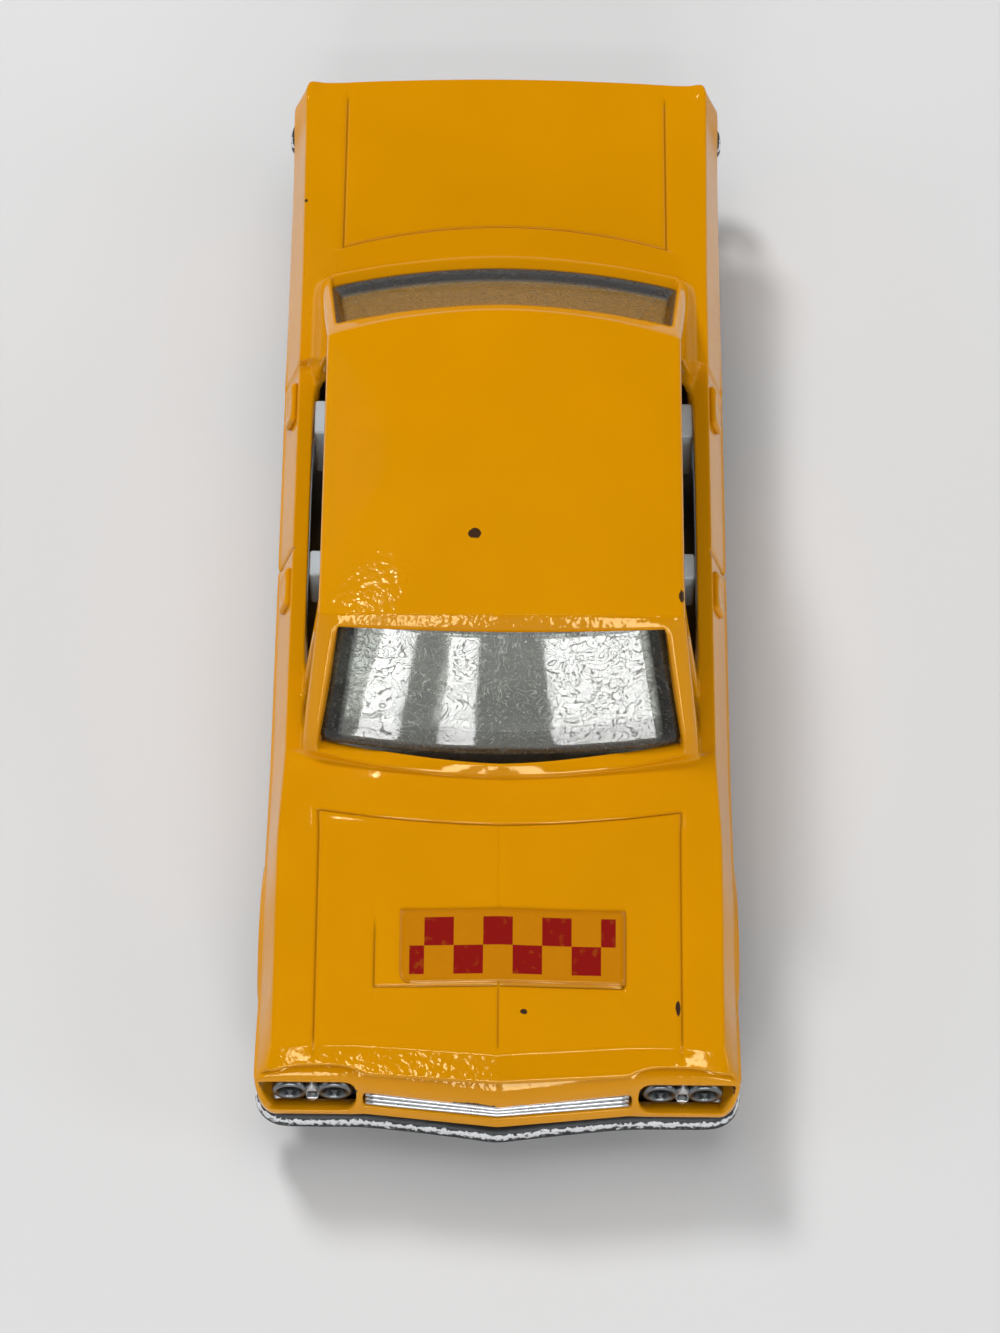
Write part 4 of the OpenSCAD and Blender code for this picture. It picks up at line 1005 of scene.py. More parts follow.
def headlamp_mesh(skin, s):
    """Four dished headlamps, each with painted shade in its dish."""
    bm = bmesh.new()
    depth = s.back_depth - s.lamp_sink + 0.3*MM
    # Edge of the painted shade in each dish and the width it fades over, as shares of the lamp's radius
    edge, fade = 0.68, 0.14
    for x in (s.outer_lamp_x, s.inner_lamp_x, -s.inner_lamp_x, -s.outer_lamp_x):
        front = Vector((x, nose_line(skin, x, s.lamp_sink), s.lamp_z))
        section = [front + Vector((r*s.lamp_r, d*depth, 0)) for r, d in LAMP_SECTION]
        lamp = turned(section, front, (0, 1, 0), 32)
        hollow_shade = lamp.verts.layers.float.new("hollow_shade")
        for v in lamp.verts:
            r = math.hypot(v.co.x - x, v.co.z - s.lamp_z)/s.lamp_r
            v[hollow_shade] = min(1, max(0, (edge - r)/fade))
        join(bm, lamp)
    return bm


def lamp_bracket_mesh(skin, s):
    """The small brackets between each pair of lamps: two wedges, tip to tip."""
    bm = bmesh.new()
    middle = (s.outer_lamp_x + s.inner_lamp_x)/2
    for side in (-1, 1):
        front = nose_line(skin, middle, s.lamp_sink)
        for height, turn in ((-0.62, 1), (0.62, -1)):
            foot = Vector((side*middle, front + 0.1*MM, s.lamp_z + height*s.lamp_r))
            wedge = bmesh.new()
            bmesh.ops.create_cone(wedge, cap_ends=True, segments=3, radius1=0.62*MM, radius2=0.4*MM, depth=0.5*MM)
            bmesh.ops.rotate(wedge, verts=wedge.verts, matrix=Matrix.Rotation(math.pi/2, 3, "X"))
            bmesh.ops.rotate(wedge, verts=wedge.verts, matrix=Matrix.Rotation(turn*math.pi/2 + math.pi/2, 3, "Y"))
            bmesh.ops.translate(wedge, verts=wedge.verts, vec=foot)
            bmesh.ops.bevel(wedge, geom=wedge.edges[:], offset=0.06*MM, segments=2, profile=0.5, affect="EDGES",
                            material=-1)
            join(bm, wedge)
    return bm


def grille_mesh(skin, s):
    """Bars that follow the nose's point, with blocks between them."""
    bm = bmesh.new()
    reach = float(skin.columns[skin.grille_column][0]) - s.gap
    low, high = skin.nose_levels_mm[skin.slot_level:skin.slot_level + 2]
    # Bars as shares up the slot, and their front edge, shoulder and back behind it, mm
    bar_shares, bar_depths_mm = (0.16, 0.5, 0.84), (0, 0.12, 1.1)

    def slot(x, share):
        """Depth and height at a share up the slot."""
        t = min(1, abs(x)/reach)
        back = lerp(lerp(low[5], low[4], t), lerp(high[5], high[4], t), share)*MM
        return (nose_line(skin, x, back + s.bar_sink),
                lerp(lerp(low[2], low[1], t), lerp(high[2], high[1], t), share)*MM)

    count = 32
    for share in bar_shares:
        def place(i, j, k, share=share):
            x = lerp(-reach, reach, i/count)
            y, z = slot(x, share)
            return Vector((x, y + bar_depths_mm[j]*MM, z + (k - 0.5)*s.bar_h*(0.55 if j == 0 else 1)))
        join(bm, mapped((count, 2, 1), place))
    blocks = int(reach/s.block_pitch)
    for n in range(-blocks, blocks + 1):
        x = n*s.block_pitch
        (_, foot), (y, head) = slot(x, 0.1), slot(x, 0.9)
        join(bm, block((x - 0.14*MM, y + 0.08*MM, foot), (x + 0.14*MM, y + 0.9*MM, head), 0.04*MM))
    return bm


class TAXI_OT_windows(bpy.types.Operator):
    """Model the clear moulding: windscreen, rear window and the liner that joins them"""
    bl_idname = "taxi.windows"
    bl_label = "Windows"

    def execute(self, context):
        scene = context.scene
        skin, s = skin_of(scene), scene.taxi_windows
        colours = scene.taxi_colours
        clear = clear_material("clear_polystyrene", colours.clear, colours.bevel, 0.88)
        aged = clear_material("yellowed_polystyrene", colours.aged_clear, colours.bevel, 0.84)
        panes = (("windscreen", pane_mesh(skin, s, 0), clear), ("rear_window", pane_mesh(skin, s, 1), aged),
                 ("window_liner", liner_mesh(skin, s), clear))
        for name, bm, finish in panes:
            piece = new_object(name, bm, finish)
            if name != "window_liner":
                subdivided(piece, 1)
            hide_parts("window_unit")
        return {"FINISHED"}


def pane_mesh(skin, s, rear):
    """A thick clear pane in its opening, bevelled all round."""
    c = skin.c
    foot, header = ((c.screen_rim, c.screen_header), (c.backlight_rim, c.backlight_header))[rear]
    z_foot = (skin.s.screen_foot_z, skin.s.backlight_foot_z)[rear] + foot
    z_head = c.roof_edge_z - header
    out = 1 if rear else -1
    face = skin.backlight_y if rear else skin.screen_y
    nu, nv = 28, 12
    # The rear window's bevel is wider at its head, the windscreen's at its sides
    head_bevel, side_bevel = (2, 1) if rear else (0.3, 1.7)
    # Inset and depth from the front face to the back. The rear window is a tray with a raised rim.
    back = s.liner_depth + s.liner_t/2
    if rear:
        layers = ((s.pane_bevel, s.pane_sink + s.bevel_depth), (s.pane_bevel*0.93, s.pane_sink + s.bevel_depth*0.97),
                  (s.pane_gap*4, s.pane_sink), (s.pane_gap, s.pane_sink + s.bevel_depth/2), (s.pane_gap, back))
    else:
        layers = ((s.pane_bevel, s.pane_sink), (s.pane_bevel*0.9, s.pane_sink + s.bevel_depth*0.05),
                  (s.pane_gap*4, s.pane_sink + s.bevel_depth*0.25),
                  (s.pane_gap, s.pane_sink + s.bevel_depth), (s.pane_gap, back))

    def place(i, j, k):
        inset, depth = layers[k]
        z = lerp(z_foot + inset, z_head - inset*head_bevel, j/nv)
        share = (z - z_foot)/(z_head - z_foot)
        edge = skin.column_in_cabin(skin.edge_column, rear, share)
        rise = (z - skin.s.ledge_z)/(c.roof_edge_z - skin.s.ledge_z)
        hw = lerp(skin.cabin_hw, skin.roof_hw, rise)
        x = (2*i/nu - 1)*(edge*hw - inset*side_bevel)
        a = x/hw
        lean = math.hypot(1, (c.screen_run, c.backlight_run)[rear]/(c.roof_edge_z - z_foot))
        # The windscreen itself is evenly bent, while its opening bows more at the foot than at the head
        even = 0 if rear else (c.roof_front_bow - c.screen_bow)*(0.5 - share)*(a*a - 0.45)
        return Vector((x, face(a, z) + even - out*depth*lean, z))

    counts = (nu, nv, len(layers) - 1)
    bm = lattice_box(counts)
    edge = bm.verts.layers.float.new("edge")
    for v in bm.verts:
        i, j, k = (round(n) for n in v.co)
        # Share of painted shade, on all but the front face: full at the sides, 0.8 at the windscreen's foot; the rear
        # window takes it all round and 0.4 of it everywhere else
        rim = 1 if i in (0, nu) or rear and j in (0, nv) else 0.8 if j == 0 else 0.4 if rear else 0
        v[edge] = min(1, k)*rim
        v.co = place(i, j, k)
    bm.normal_update()
    bmesh.ops.recalc_face_normals(bm, faces=bm.faces)
    return bm


def liner_mesh(skin, s):
    """The sheet under the roof, which joins windscreen and rear window."""
    c = skin.c
    nu, nv = 20, 20
    down = s.liner_depth

    def place(i, j, k):
        a = 0.9*(2*i/nu - 1)
        b = j/nv
        z_edge = c.roof_edge_z - down - k*s.liner_t
        x = a*(skin.roof_hw - down)
        y = lerp(skin.screen_y(a, c.roof_edge_z) + down, skin.backlight_y(a, c.roof_edge_z) - down, b)
        return Vector((x, y, z_edge + skin.crown(a, b)))

    return mapped((nu, nv, 1), place)


# Armrests at the front and rear bench: front and rear end along the car and underside, mm
ARMRESTS_MM = ((-2.2, -0.3, 7.6), (8.6, 11.2, 6.4))
DASHBOARD_DEPTH_MM = 1.6


class TAXI_OT_seats(bpy.types.Operator):
    """Model the seat moulding with benches, dashboard and steering wheel"""
    bl_idname = "taxi.seats"
    bl_label = "Seats"

    def execute(self, context):
        scene = context.scene
        s = scene.taxi_seats
        low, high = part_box("seat_unit")
        seat = seat_material(scene.taxi_colours)
        base = block((-s.width/2, low.y, s.floor_z), (s.width/2, high.y, s.floor_z + s.floor_t), 0.15*MM)
        dash_z = scene.taxi_body.ledge_z - 1.3*MM
        join(base, dashboard_mesh(s, low.y, dash_z))
        join(base, steering_wheel_mesh(s, low.y + DASHBOARD_DEPTH_MM*MM, dash_z))
        for y0, y1, z0 in ARMRESTS_MM:
            for side in (-1, 1):
                x = sorted((side*s.rest_x, side*(s.rest_x - s.rest_w)))
                join(base, block((x[0], y0*MM, z0*MM), (x[1], y1*MM, s.rest_z), 0.2*MM))
        pieces = [new_object("seat_floor", base, seat)]
        for name, y in (("front_bench", s.front_y), ("rear_bench", high.y)):
            pieces.append(subdivided(new_object(name, bench_mesh(s, y), seat)))
        for piece in pieces:
            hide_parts("seat_unit")
        return {"FINISHED"}


def bench_mesh(s, y_rear):
    """A bench folded from a lattice: pleated cushion and back with rolled edges."""
    cushion, back = s.cushion_z, s.back_z
    y_back = y_rear - s.back_t
    y_front = y_rear - s.bench_l
    edge = 0.5*MM
    profile = ((y_front, cushion - 2.4*MM), (y_front, cushion - edge), (y_front + edge, cushion),
               (lerp(y_front, y_back, 0.5), cushion), (y_back - 1.5*edge, cushion - 0.4*edge),
               (y_back - 0.9*edge, cushion + edge), (lerp(y_back, y_rear, 0.1), lerp(cushion, back, 0.55)),
               (y_back + edge, back - edge), (y_back + 1.4*edge, back), (y_rear - edge, back),
               (y_rear, back - edge), (y_rear, cushion - 1.4*MM))
    columns = [0, 0.02, 0.05]
    pleats = 12
    for n in range(pleats):
        columns += [lerp(0.06, 0.94, (n + t)/pleats) for t in (0.06, 0.5, 0.94)]
    columns += [0.95, 0.98, 1]

    def place(i, j, k):
        y, z = profile[j]
        x = lerp(-s.bench_w/2, s.bench_w/2, columns[i])
        if k == 0:
            return Vector((x, y, s.floor_z + s.floor_t/2))
        if 3 <= i <= len(columns) - 4 and 3 <= j <= 6 and (i - 3) % 3 != 1:
            y, z = y + (0 if j < 5 else s.pleat_h), z - (s.pleat_h if j < 5 else 0)
        if i in (0, len(columns) - 1):
            z -= 0.25*MM if 2 <= j <= 9 else 0
        return Vector((x, y, z))

    return mapped((len(columns) - 1, len(profile) - 1, 1), place)


def dashboard_mesh(s, y, top_z):
    """Dashboard with a rolled top edge and a row of raised instrument panels."""
    depth = DASHBOARD_DEPTH_MM*MM
    bm = block((-s.width/2, y, s.floor_z + s.floor_t/2), (s.width/2, y + depth, top_z), 0.3*MM, 3)
    for x, w in ((s.wheel_x, 5.2*MM), (0, 3.4*MM), (-s.wheel_x, 5.2*MM)):
        join(bm, block((x - w/2, y + depth - 0.15*MM, top_z - 2.2*MM), (x + w/2, y + depth + 0.18*MM, top_z - 0.7*MM),
                       0.08*MM))
    return bm


def steering_wheel_mesh(s, y, z):
    """Rim, two spokes, hub and column, tilted towards the front bench."""
    ring = s.wheel_r - s.rim_r
    bm = bmesh.new()
    section = [(ring + s.rim_r*math.cos(t), 0, s.rim_r*math.sin(t)) for t in np.linspace(0, 2*math.pi, 11)[:-1]]
    join(bm, turned(section, (0, 0, 0), (0, 0, 1), 36, closed=True))
    join(bm, block((-ring, -0.18*MM, -0.15*MM), (ring, 0.18*MM, 0.15*MM), 0.08*MM))
    column = ((0, 0, 0.35*MM), (0.4*MM, 0, 0.3*MM), (0.55*MM, 0, 0), (0.32*MM, 0, -0.4*MM), (0.32*MM, 0, -3*MM),
              (0, 0, -3*MM))
    join(bm, turned(column, (0, 0, 0), (0, 0, 1), 20))
    bmesh.ops.rotate(bm, verts=bm.verts, matrix=Matrix.Rotation(math.radians(-55), 3, "X"))
    bmesh.ops.translate(bm, verts=bm.verts, vec=(s.wheel_x, y + 1.5*MM, z + 0.2*MM))
    return bm


# Section of a wheel: place from its inner to its outer face as a share of its width, and radius in mm
WHEEL_SECTION = ((0, 0.8), (0, 2.3), (0.06, 2.5), (0.06, 3.5), (0, 3.7), (0.03, 4.1), (0.12, 4.45), (0.2, 4.6),
                 (0.47, 4.6), (0.48, 4.45), (0.52, 4.45), (0.53, 4.6), (0.8, 4.6), (0.88, 4.45), (0.97, 4.1),
                 (1, 3.7), (0.99, 3.35), (0.965, 3.3), (0.965, 3.2), (1, 3.12), (0.99, 2.98), (0.75, 2.85),
                 (0.7, 2.7), (0.69, 2.0), (0.72, 1.85), (0.93, 1.62), (0.985, 1.5), (1, 1.32), (1, 0.8))


class TAXI_OT_wheels(bpy.types.Operator):
    """Turn the wheels and axles"""
    bl_idname = "taxi.wheels"
    bl_label = "Wheels and axles"

    def execute(self, context):
        scene = context.scene
        s = scene.taxi_wheels
        tyre, steel = tyre_material(scene.taxi_colours), steel_material(scene.taxi_colours)
        for node in ("front_left_wheel", "front_right_wheel", "rear_left_wheel", "rear_right_wheel"):
            piece = new_object(node + "_moulding", wheel_mesh(s, *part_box(node)), tyre, node)
            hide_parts(node)
        for node in ("front_axle", "rear_axle"):
            piece = new_object(node + "_pin", axle_mesh(s, *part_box(node)), steel, node)
            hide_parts(node)
        return {"FINISHED"}


def wheel_mesh(s, low, high):
    """Tyre and dished hub turned in one, with two staggered rows of tread blocks."""
    centre = (low + high)/2
    inner, outer = (low.x, high.x) if centre.x > 0 else (high.x, low.x)
    tread = (high.z - low.z)/2
    steps = 96
    section = [Vector((lerp(inner, outer, t), centre.y, centre.z + r*MM)) for t, r in WHEEL_SECTION]
    bm = turned(section, centre, (1, 0, 0), steps, closed=True)
    for v in bm.verts:
        spoke = Vector((0, v.co.y - centre.y, v.co.z - centre.z))
        if spoke.length < tread - 0.02*MM:
            continue
        step = round(math.atan2(spoke.y, spoke.z)/(2*math.pi)*steps) + (2 if v.co.x > centre.x else 0)
        if step % 4 < 2:
            v.co -= spoke.normalized()*s.tread_depth
    return bm


def axle_mesh(s, low, high):
    """Wire pin with a formed, slightly domed head at each end."""
    centre = (low + high)/2
    head = 0.55*MM
    half = (high.x - low.x)/2
    profile = ((half, 0), (half - 0.03*MM, 0.5*s.axle_r), (half - 0.14*MM, s.axle_r + 0.1*MM),
               (half - head*0.62, s.head_r - 0.06*MM), (half - head*0.85, s.head_r), (half - head, s.head_r - 0.08*MM),
               (half - head, s.axle_r))
    points = list(profile) + [(-x, r) for x, r in reversed(profile)]
    section = [Vector((centre.x + x, centre.y, centre.z + r)) for x, r in points]
    return turned(section, centre, (1, 0, 0), 32)


class TAXI_OT_label(bpy.types.Operator):
    """Lay the printed film on the hood"""
    bl_idname = "taxi.label"
    bl_label = "Hood label"

    def execute(self, context):
        scene = context.scene
        skin, s = skin_of(scene), scene.taxi_trim
        low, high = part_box("hood_label")
        low.y += s.label_trim
        nu, nv = 32, 12
        corner = 0.7*MM

        def place(i, j, k):
            u, v = i/nu, j/nv
            x, y = lerp(low.x, high.x, u), lerp(low.y, high.y, v)
            dx, dy = low.x + corner - x, low.y + corner - y
            if dx > 0 and dy > 0:
                pull = corner/max(corner, math.hypot(dx, dy))
                x, y = low.x + corner - dx*pull, low.y + corner - dy*pull
            return Vector((x, y, skin.top_z(x, y) + s.label_gap + k*s.label_t))

        piece = new_object("label_film", mapped((nu, nv, 1), place), film_material(scene.taxi_colours, s, low, high))
        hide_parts("hood_label")
        return {"FINISHED"}


# Door handles: front and rear end along the car, mm
HANDLES_MM = ((-4.4, -1.5), (9.6, 12.7))
# Rivets: how far behind the nose and before the tail they are, mm
RIVETS_MM = (5.48, 5.4)
# Half section of a rivet from the middle of its spun head up to its post: radius and height over the plate, mm
RIVET_SECTION = ((0, -0.3), (0.5, -0.34), (0.8, -0.5), (1.3, -0.55), (1.75, -0.42), (1.9, -0.15), (1.9, 0.05),
                 (1.2, 0.05), (1.2, 5), (0, 5))
# Half section of a tail lamp: share of its radius and height over the panel in mm
TAIL_LAMP_SECTION = ((0, 0.3), (0.3, 0.27), (0.55, 0.17), (0.66, 0.08), (0.72, 0.22), (0.8, 0.3), (0.92, 0.26),
                     (1, 0.1), (1, -0.4), (0, -0.4))


class TAXI_OT_trim(bpy.types.Operator):
    """Add door handles, tail lamps and rivets to the body"""
    bl_idname = "taxi.trim"
    bl_label = "Handles, tail lamps and rivets"

    def execute(self, context):
        scene = context.scene
        skin, s = skin_of(scene), scene.taxi_trim
        enamel = bpy.data.materials["stoving_enamel"]
        handles = bmesh.new()
        for y0, y1 in HANDLES_MM:
            for side in (-1, 1):
                join(handles, handle_mesh(skin, s, side, y0*MM, y1*MM))
        subdivided(new_object("door_handles", handles, enamel), 1)
        tail = bmesh.new()
        for x in (-s.tail_lamp_x, -s.tail_lamp_x + s.tail_lamp_gap, s.tail_lamp_x - s.tail_lamp_gap, s.tail_lamp_x):
            join(tail, tail_lamp_mesh(skin, s, x))
        new_object("tail_lamps", tail, enamel)
        posts = bmesh.new()
        zinc = bpy.data.materials["bare_zinc"]
        z, widest = scene.taxi_base.plate_z, max(r for r, _ in RIVET_SECTION)
        for y in (skin.y_nose + RIVETS_MM[0]*MM, skin.y_tail - RIVETS_MM[1]*MM):
            section = [Vector((r/widest*s.rivet_r, y, z + h*MM)) for r, h in RIVET_SECTION]
            join(posts, turned(section, (0, y, 0), (0, 0, 1), 32))
        new_object("rivets", posts, zinc)
        return {"FINISHED"}


def tail_lamp_mesh(skin, s, x):
    """A round lamp with a raised rim, cast in the tail's panel."""
    a, c = abs(x)/skin.half_w, 0.52
    z = lerp(skin.s.tail_lip_z, skin.s.tail_shoulder_z, c)
    y = skin.tail_y(a, c) - skin.s.panel_depth
    section = [Vector((x + r*s.tail_lamp_r, y + h*MM, z)) for r, h in TAIL_LAMP_SECTION]
    return turned(section, (x, y, z), (0, 1, 0), 32)


def handle_mesh(skin, s, side, y0, y1):
    """A raised door handle that follows the side just under the door's top edge."""
    count = 8
    top = skin.s.ledge_z - 0.35*MM

    def place(i, j, k):
        y = lerp(y0, y1, i/count)
        z = top - s.handle_w*(1 - k/3)
        out = -0.2*MM
        if j == 1:
            rim = i in (0, 1, count - 1, count) or k in (0, 3)
            out = s.handle_out if rim else s.handle_out*0.45
            out *= 0.6 if i in (0, count) else 1
        return Vector((side*(skin.side_hw(y, z) + out), y, z))

    return mapped((count, 1, 3), place)


def add_node(tree, kind, settings=None, **links):
    """Adds a shader node with its settings and links."""
    return set_node(tree, tree.nodes.new(kind), settings or {}, **links)


def set_node(tree, node, settings, **links):
    """Sets a node's properties and inputs, and links inputs to other nodes' sockets: _0 is the first input."""
    for name, value in settings.items():
        if isinstance(name, str) and hasattr(node, name):
            setattr(node, name, value)
        else:
            node.inputs[name].default_value = value
    for name, socket in links.items():
        key = int(name[1:]) if name[0] == "_" else name.replace("_", " ")
        tree.links.new(socket, node.inputs[key])
    return node


def shade(rgb, share=1):
    """A colour made darker or lighter, with the alpha that node sockets want."""
    return (*[c*share for c in rgb], 1)


def per_mm(size_mm):
    """Texture scale that gives features of this size."""
    return 1/(size_mm*MM)


def new_material(name):
    """A node material with its tree, its principled shader and the piece's own coordinates."""
    material = bpy.data.materials.new(name)
    material.use_nodes = True
    tree = material.node_tree
    at = add_node(tree, "ShaderNodeTexCoord").outputs["Object"]
    return material, tree, tree.nodes["Principled BSDF"], at


def enamel_material(colours):
    """Stoving enamel over zinc: deep even yellow, glossy, with the orange-peel of a thick dipped coat."""
    material, tree, shader, at = new_material("stoving_enamel")
    cloud = add_node(tree, "ShaderNodeTexNoise", {"Scale": per_mm(7), "Detail": 4}, Vector=at)
    deep = shade(colours.enamel, 0.88)
    tint = add_node(tree, "ShaderNodeMix", {"data_type": "RGBA", 6: deep, 7: shade(colours.enamel)},
                    _0=cloud.outputs["Fac"])
    # Painted shade, with some dirt, darkens the enamel along the seams as far as each point's groove share
    groove = add_node(tree, "ShaderNodeAttribute", {"attribute_name": "groove"})
    much = add_node(tree, "ShaderNodeMapRange", {"From Min": 0.45, "From Max": 1, "To Max": 0.55},
                    Value=groove.outputs["Fac"])
    seam_shaded = add_node(tree, "ShaderNodeMix", {"data_type": "RGBA", 7: shade(colours.seam_shade_and_dirt)}, _0=much.outputs[0],
                     _6=tint.outputs[2])
    ragged = add_node(tree, "ShaderNodeTexNoise", {"Scale": per_mm(0.5), "Detail": 3}, Vector=at)
    edge = add_node(tree, "ShaderNodeMath", {"operation": "MULTIPLY_ADD", 1: 1.4, 2: -0.7}, _0=ragged.outputs["Fac"])
    # Chips, and painted shade in the dark gaps round the lamp openings, in the same dark colour
    bare = spots(tree, at, CHIPS_AND_GAP_SHADE_MM, edge.outputs[0], 0.06)
    chipped = add_node(tree, "ShaderNodeMix", {"data_type": "RGBA", 7: shade(colours.chip_and_gap_shade)}, _0=bare,
                       _6=seam_shaded.outputs[2])
    crackled = spots(tree, at, CRACKLE_MM, edge.outputs[0], 0.5)
    peel = add_node(tree, "ShaderNodeTexNoise", {"Scale": per_mm(0.42), "Detail": 1}, Vector=at)
    much_peel = add_node(tree, "ShaderNodeMapRange", {"To Min": 0.14, "To Max": 0.6}, Value=crackled)
    bump = add_node(tree, "ShaderNodeBump", {"Distance": 0.04*MM}, Height=peel.outputs["Fac"],
                    Strength=much_peel.outputs[0])
    set_node(tree, shader, {"Roughness": 0.07, "IOR": 1.5, "Specular Tint": shade(colours.gloss)},
             Base_Color=chipped.outputs[2], Normal=bump.outputs[0])
    return material


# Paint chips and patches of crackled paint: centre and half sizes along each axis, in mm
# The last four chips, round the lamp openings, also stand for painted shade in the dark gaps there
CHIPS_AND_GAP_SHADE_MM = ((-1.7, -4.5, 20.4, 0.4, 0.36, 1), (11.1, -8.5, 19.8, 0.2, 0.5, 1), (10.95, -32.1, 10.6, 0.15, 0.5, 1),
            (-13.4, 26.5, 12.3, 0.14, 0.16, 1), (1.55, -32.6, 10.7, 0.25, 0.2, 1), (-1.4, -37.5, 7.0, 1.5, 1, 0.4),
            (1.2, -37.6, 6.9, 0.9, 1, 0.35), (-14.3, -36.5, 7.6, 0.3, 0.6, 0.4), (14.3, -36.5, 7.4, 0.3, 0.6, 0.6),
            (-8.7, -36.9, 7.3, 0.25, 0.6, 0.35), (8.7, -36.9, 7.4, 0.25, 0.6, 0.35))
CRACKLE_MM = ((-8.3, -8.4, 20, 3.2, 2.4, 2), (-6, -36, 9.3, 6.5, 1.6, 1.4), (0, -10.3, 19.4, 12, 1, 0.8))


def spots(tree, at, places, edge, soft):
    """A mask of patches with ragged edges: 1 within a patch, 0 outside."""
    mask = None
    for place in places:
        sizes = [1/(n*MM) for n in place[3:]]
        offset = [-c*MM*k for c, k in zip(place, sizes)]
        near = add_node(tree, "ShaderNodeMapping", {"Location": offset, "Scale": sizes}, Vector=at)
        far = add_node(tree, "ShaderNodeVectorMath", {"operation": "LENGTH"}, _0=near.outputs[0])
        rim = add_node(tree, "ShaderNodeMath", {"operation": "ADD"}, _0=far.outputs["Value"], _1=edge)
        part = add_node(tree, "ShaderNodeMapRange", {"From Min": 1 + soft, "From Max": 1 - soft}, Value=rim.outputs[0])
        if mask is None:
            mask = part.outputs[0]
        else:
            mask = add_node(tree, "ShaderNodeMath", {"operation": "MAXIMUM"}, _0=mask, _1=part.outputs[0]).outputs[0]
    return mask


def zinc_material(colours):
    """Bare zinc casting: dull grey, mottled by handling, with a faint grain from the mould."""
    material, tree, shader, at = new_material("bare_zinc")
    mottle = add_node(tree, "ShaderNodeTexNoise", {"Scale": per_mm(2.2), "Detail": 5}, Vector=at)
    grain = add_node(tree, "ShaderNodeTexNoise", {"Scale": per_mm(0.25), "Detail": 3}, Vector=at)
    dark, light = [shade(colours.zinc, t) for t in (0.62, 1.25)]
    tint = add_node(tree, "ShaderNodeMix", {"data_type": "RGBA", 6: dark, 7: light}, _0=mottle.outputs["Fac"])
    rough = add_node(tree, "ShaderNodeMapRange", {"To Min": 0.32, "To Max": 0.55}, Value=grain.outputs["Fac"])
    bump = add_node(tree, "ShaderNodeBump", {"Strength": 0.25, "Distance": 0.05*MM}, Height=grain.outputs["Fac"])
    set_node(tree, shader, {"Metallic": 1}, Base_Color=tint.outputs[2], Roughness=rough.outputs[0],
             Normal=bump.outputs[0])
    return material


def bumper_material(colours):
    """Zinc bumper, dark on top, its front dabbed with rough silver paint. The silver band, picked by which way the
    surface faces, is partly a painted highlight, and the dark underside is painted shade.
    """
    material, tree, shader, at = new_material("rubbed_zinc")
    facing = add_node(tree, "ShaderNodeNewGeometry").outputs["Normal"]
    split = add_node(tree, "ShaderNodeSeparateXYZ", Vector=facing)
    rough_grain = add_node(tree, "ShaderNodeTexNoise", {"Scale": per_mm(0.3), "Detail": 3}, Vector=at)
    ragged = add_node(tree, "ShaderNodeMath", {"operation": "MULTIPLY_ADD", 1: 0.9, 2: -0.45},
                      _0=rough_grain.outputs["Fac"])
    # The band faces forward and a little up: silver paint and painted highlight there, painted shade on faces turned
    # down
    height = add_node(tree, "ShaderNodeMath", {"operation": "ADD"}, _0=split.outputs["Z"], _1=ragged.outputs[0])
    above = add_node(tree, "ShaderNodeMapRange", {"From Min": 0.42, "From Max": 0.52, "To Min": 1, "To Max": 0},
                     Value=height.outputs[0])
    below = add_node(tree, "ShaderNodeMapRange", {"From Min": 0.05, "From Max": 0.2}, Value=height.outputs[0])
    bright = add_node(tree, "ShaderNodeMath", {"operation": "MULTIPLY"}, _0=above.outputs[0], _1=below.outputs[0])
    dark = shade(colours.zinc, 0.35)
    tint = add_node(tree, "ShaderNodeMix", {"data_type": "RGBA", 6: dark, 7: shade(colours.silver)},
                    _0=bright.outputs[0])
    rough = add_node(tree, "ShaderNodeMapRange", {"To Min": 0.5, "To Max": 0.28}, Value=bright.outputs[0])
    metal = add_node(tree, "ShaderNodeMapRange", {"To Min": 1, "To Max": 0.4}, Value=bright.outputs[0])
    bump = add_node(tree, "ShaderNodeBump", {"Strength": 0.5, "Distance": 0.08*MM}, Height=rough_grain.outputs["Fac"])
    set_node(tree, shader, {}, Metallic=metal.outputs[0], Base_Color=tint.outputs[2], Roughness=rough.outputs[0],
             Normal=bump.outputs[0])
    return material


def lamp_material(colours):
    """Dished zinc lamps: bright rims, painted shade in the hollows."""
    material, tree, shader, at = new_material("dished_zinc")
    grain = add_node(tree, "ShaderNodeTexNoise", {"Scale": per_mm(0.4), "Detail": 3}, Vector=at)
    dark, light = [shade(colours.zinc, t) for t in (0.7, 1.6)]
    tint = add_node(tree, "ShaderNodeMix", {"data_type": "RGBA", 6: dark, 7: light}, _0=grain.outputs["Fac"])
    # Painted shade: the lamps turn very dark inside their dish, where shade falls
    hollow_shade = add_node(tree, "ShaderNodeAttribute", {"attribute_name": "hollow_shade"})
    dish_shade_colour = shade(colours.zinc, 0.1)
    deep = add_node(tree, "ShaderNodeMix", {"data_type": "RGBA", 7: dish_shade_colour}, _0=hollow_shade.outputs["Fac"],
                    _6=tint.outputs[2])
    set_node(tree, shader, {"Metallic": 1, "Roughness": 0.3}, Base_Color=deep.outputs[2])
    return material


def silver_material(colours):
    """Silver finish on the grille: bright, a little grainy."""
    material, tree, shader, at = new_material("silver_finish")
    grain = add_node(tree, "ShaderNodeTexNoise", {"Scale": per_mm(0.3), "Detail": 3}, Vector=at)
    rough = add_node(tree, "ShaderNodeMapRange", {"To Min": 0.18, "To Max": 0.45}, Value=grain.outputs["Fac"])
    dark = shade(colours.silver, 0.6)
    tint = add_node(tree, "ShaderNodeMix", {"data_type": "RGBA", 6: dark, 7: shade(colours.silver)},
                    _0=grain.outputs["Fac"])
    set_node(tree, shader, {"Metallic": 1}, Base_Color=tint.outputs[2], Roughness=rough.outputs[0])
    return material


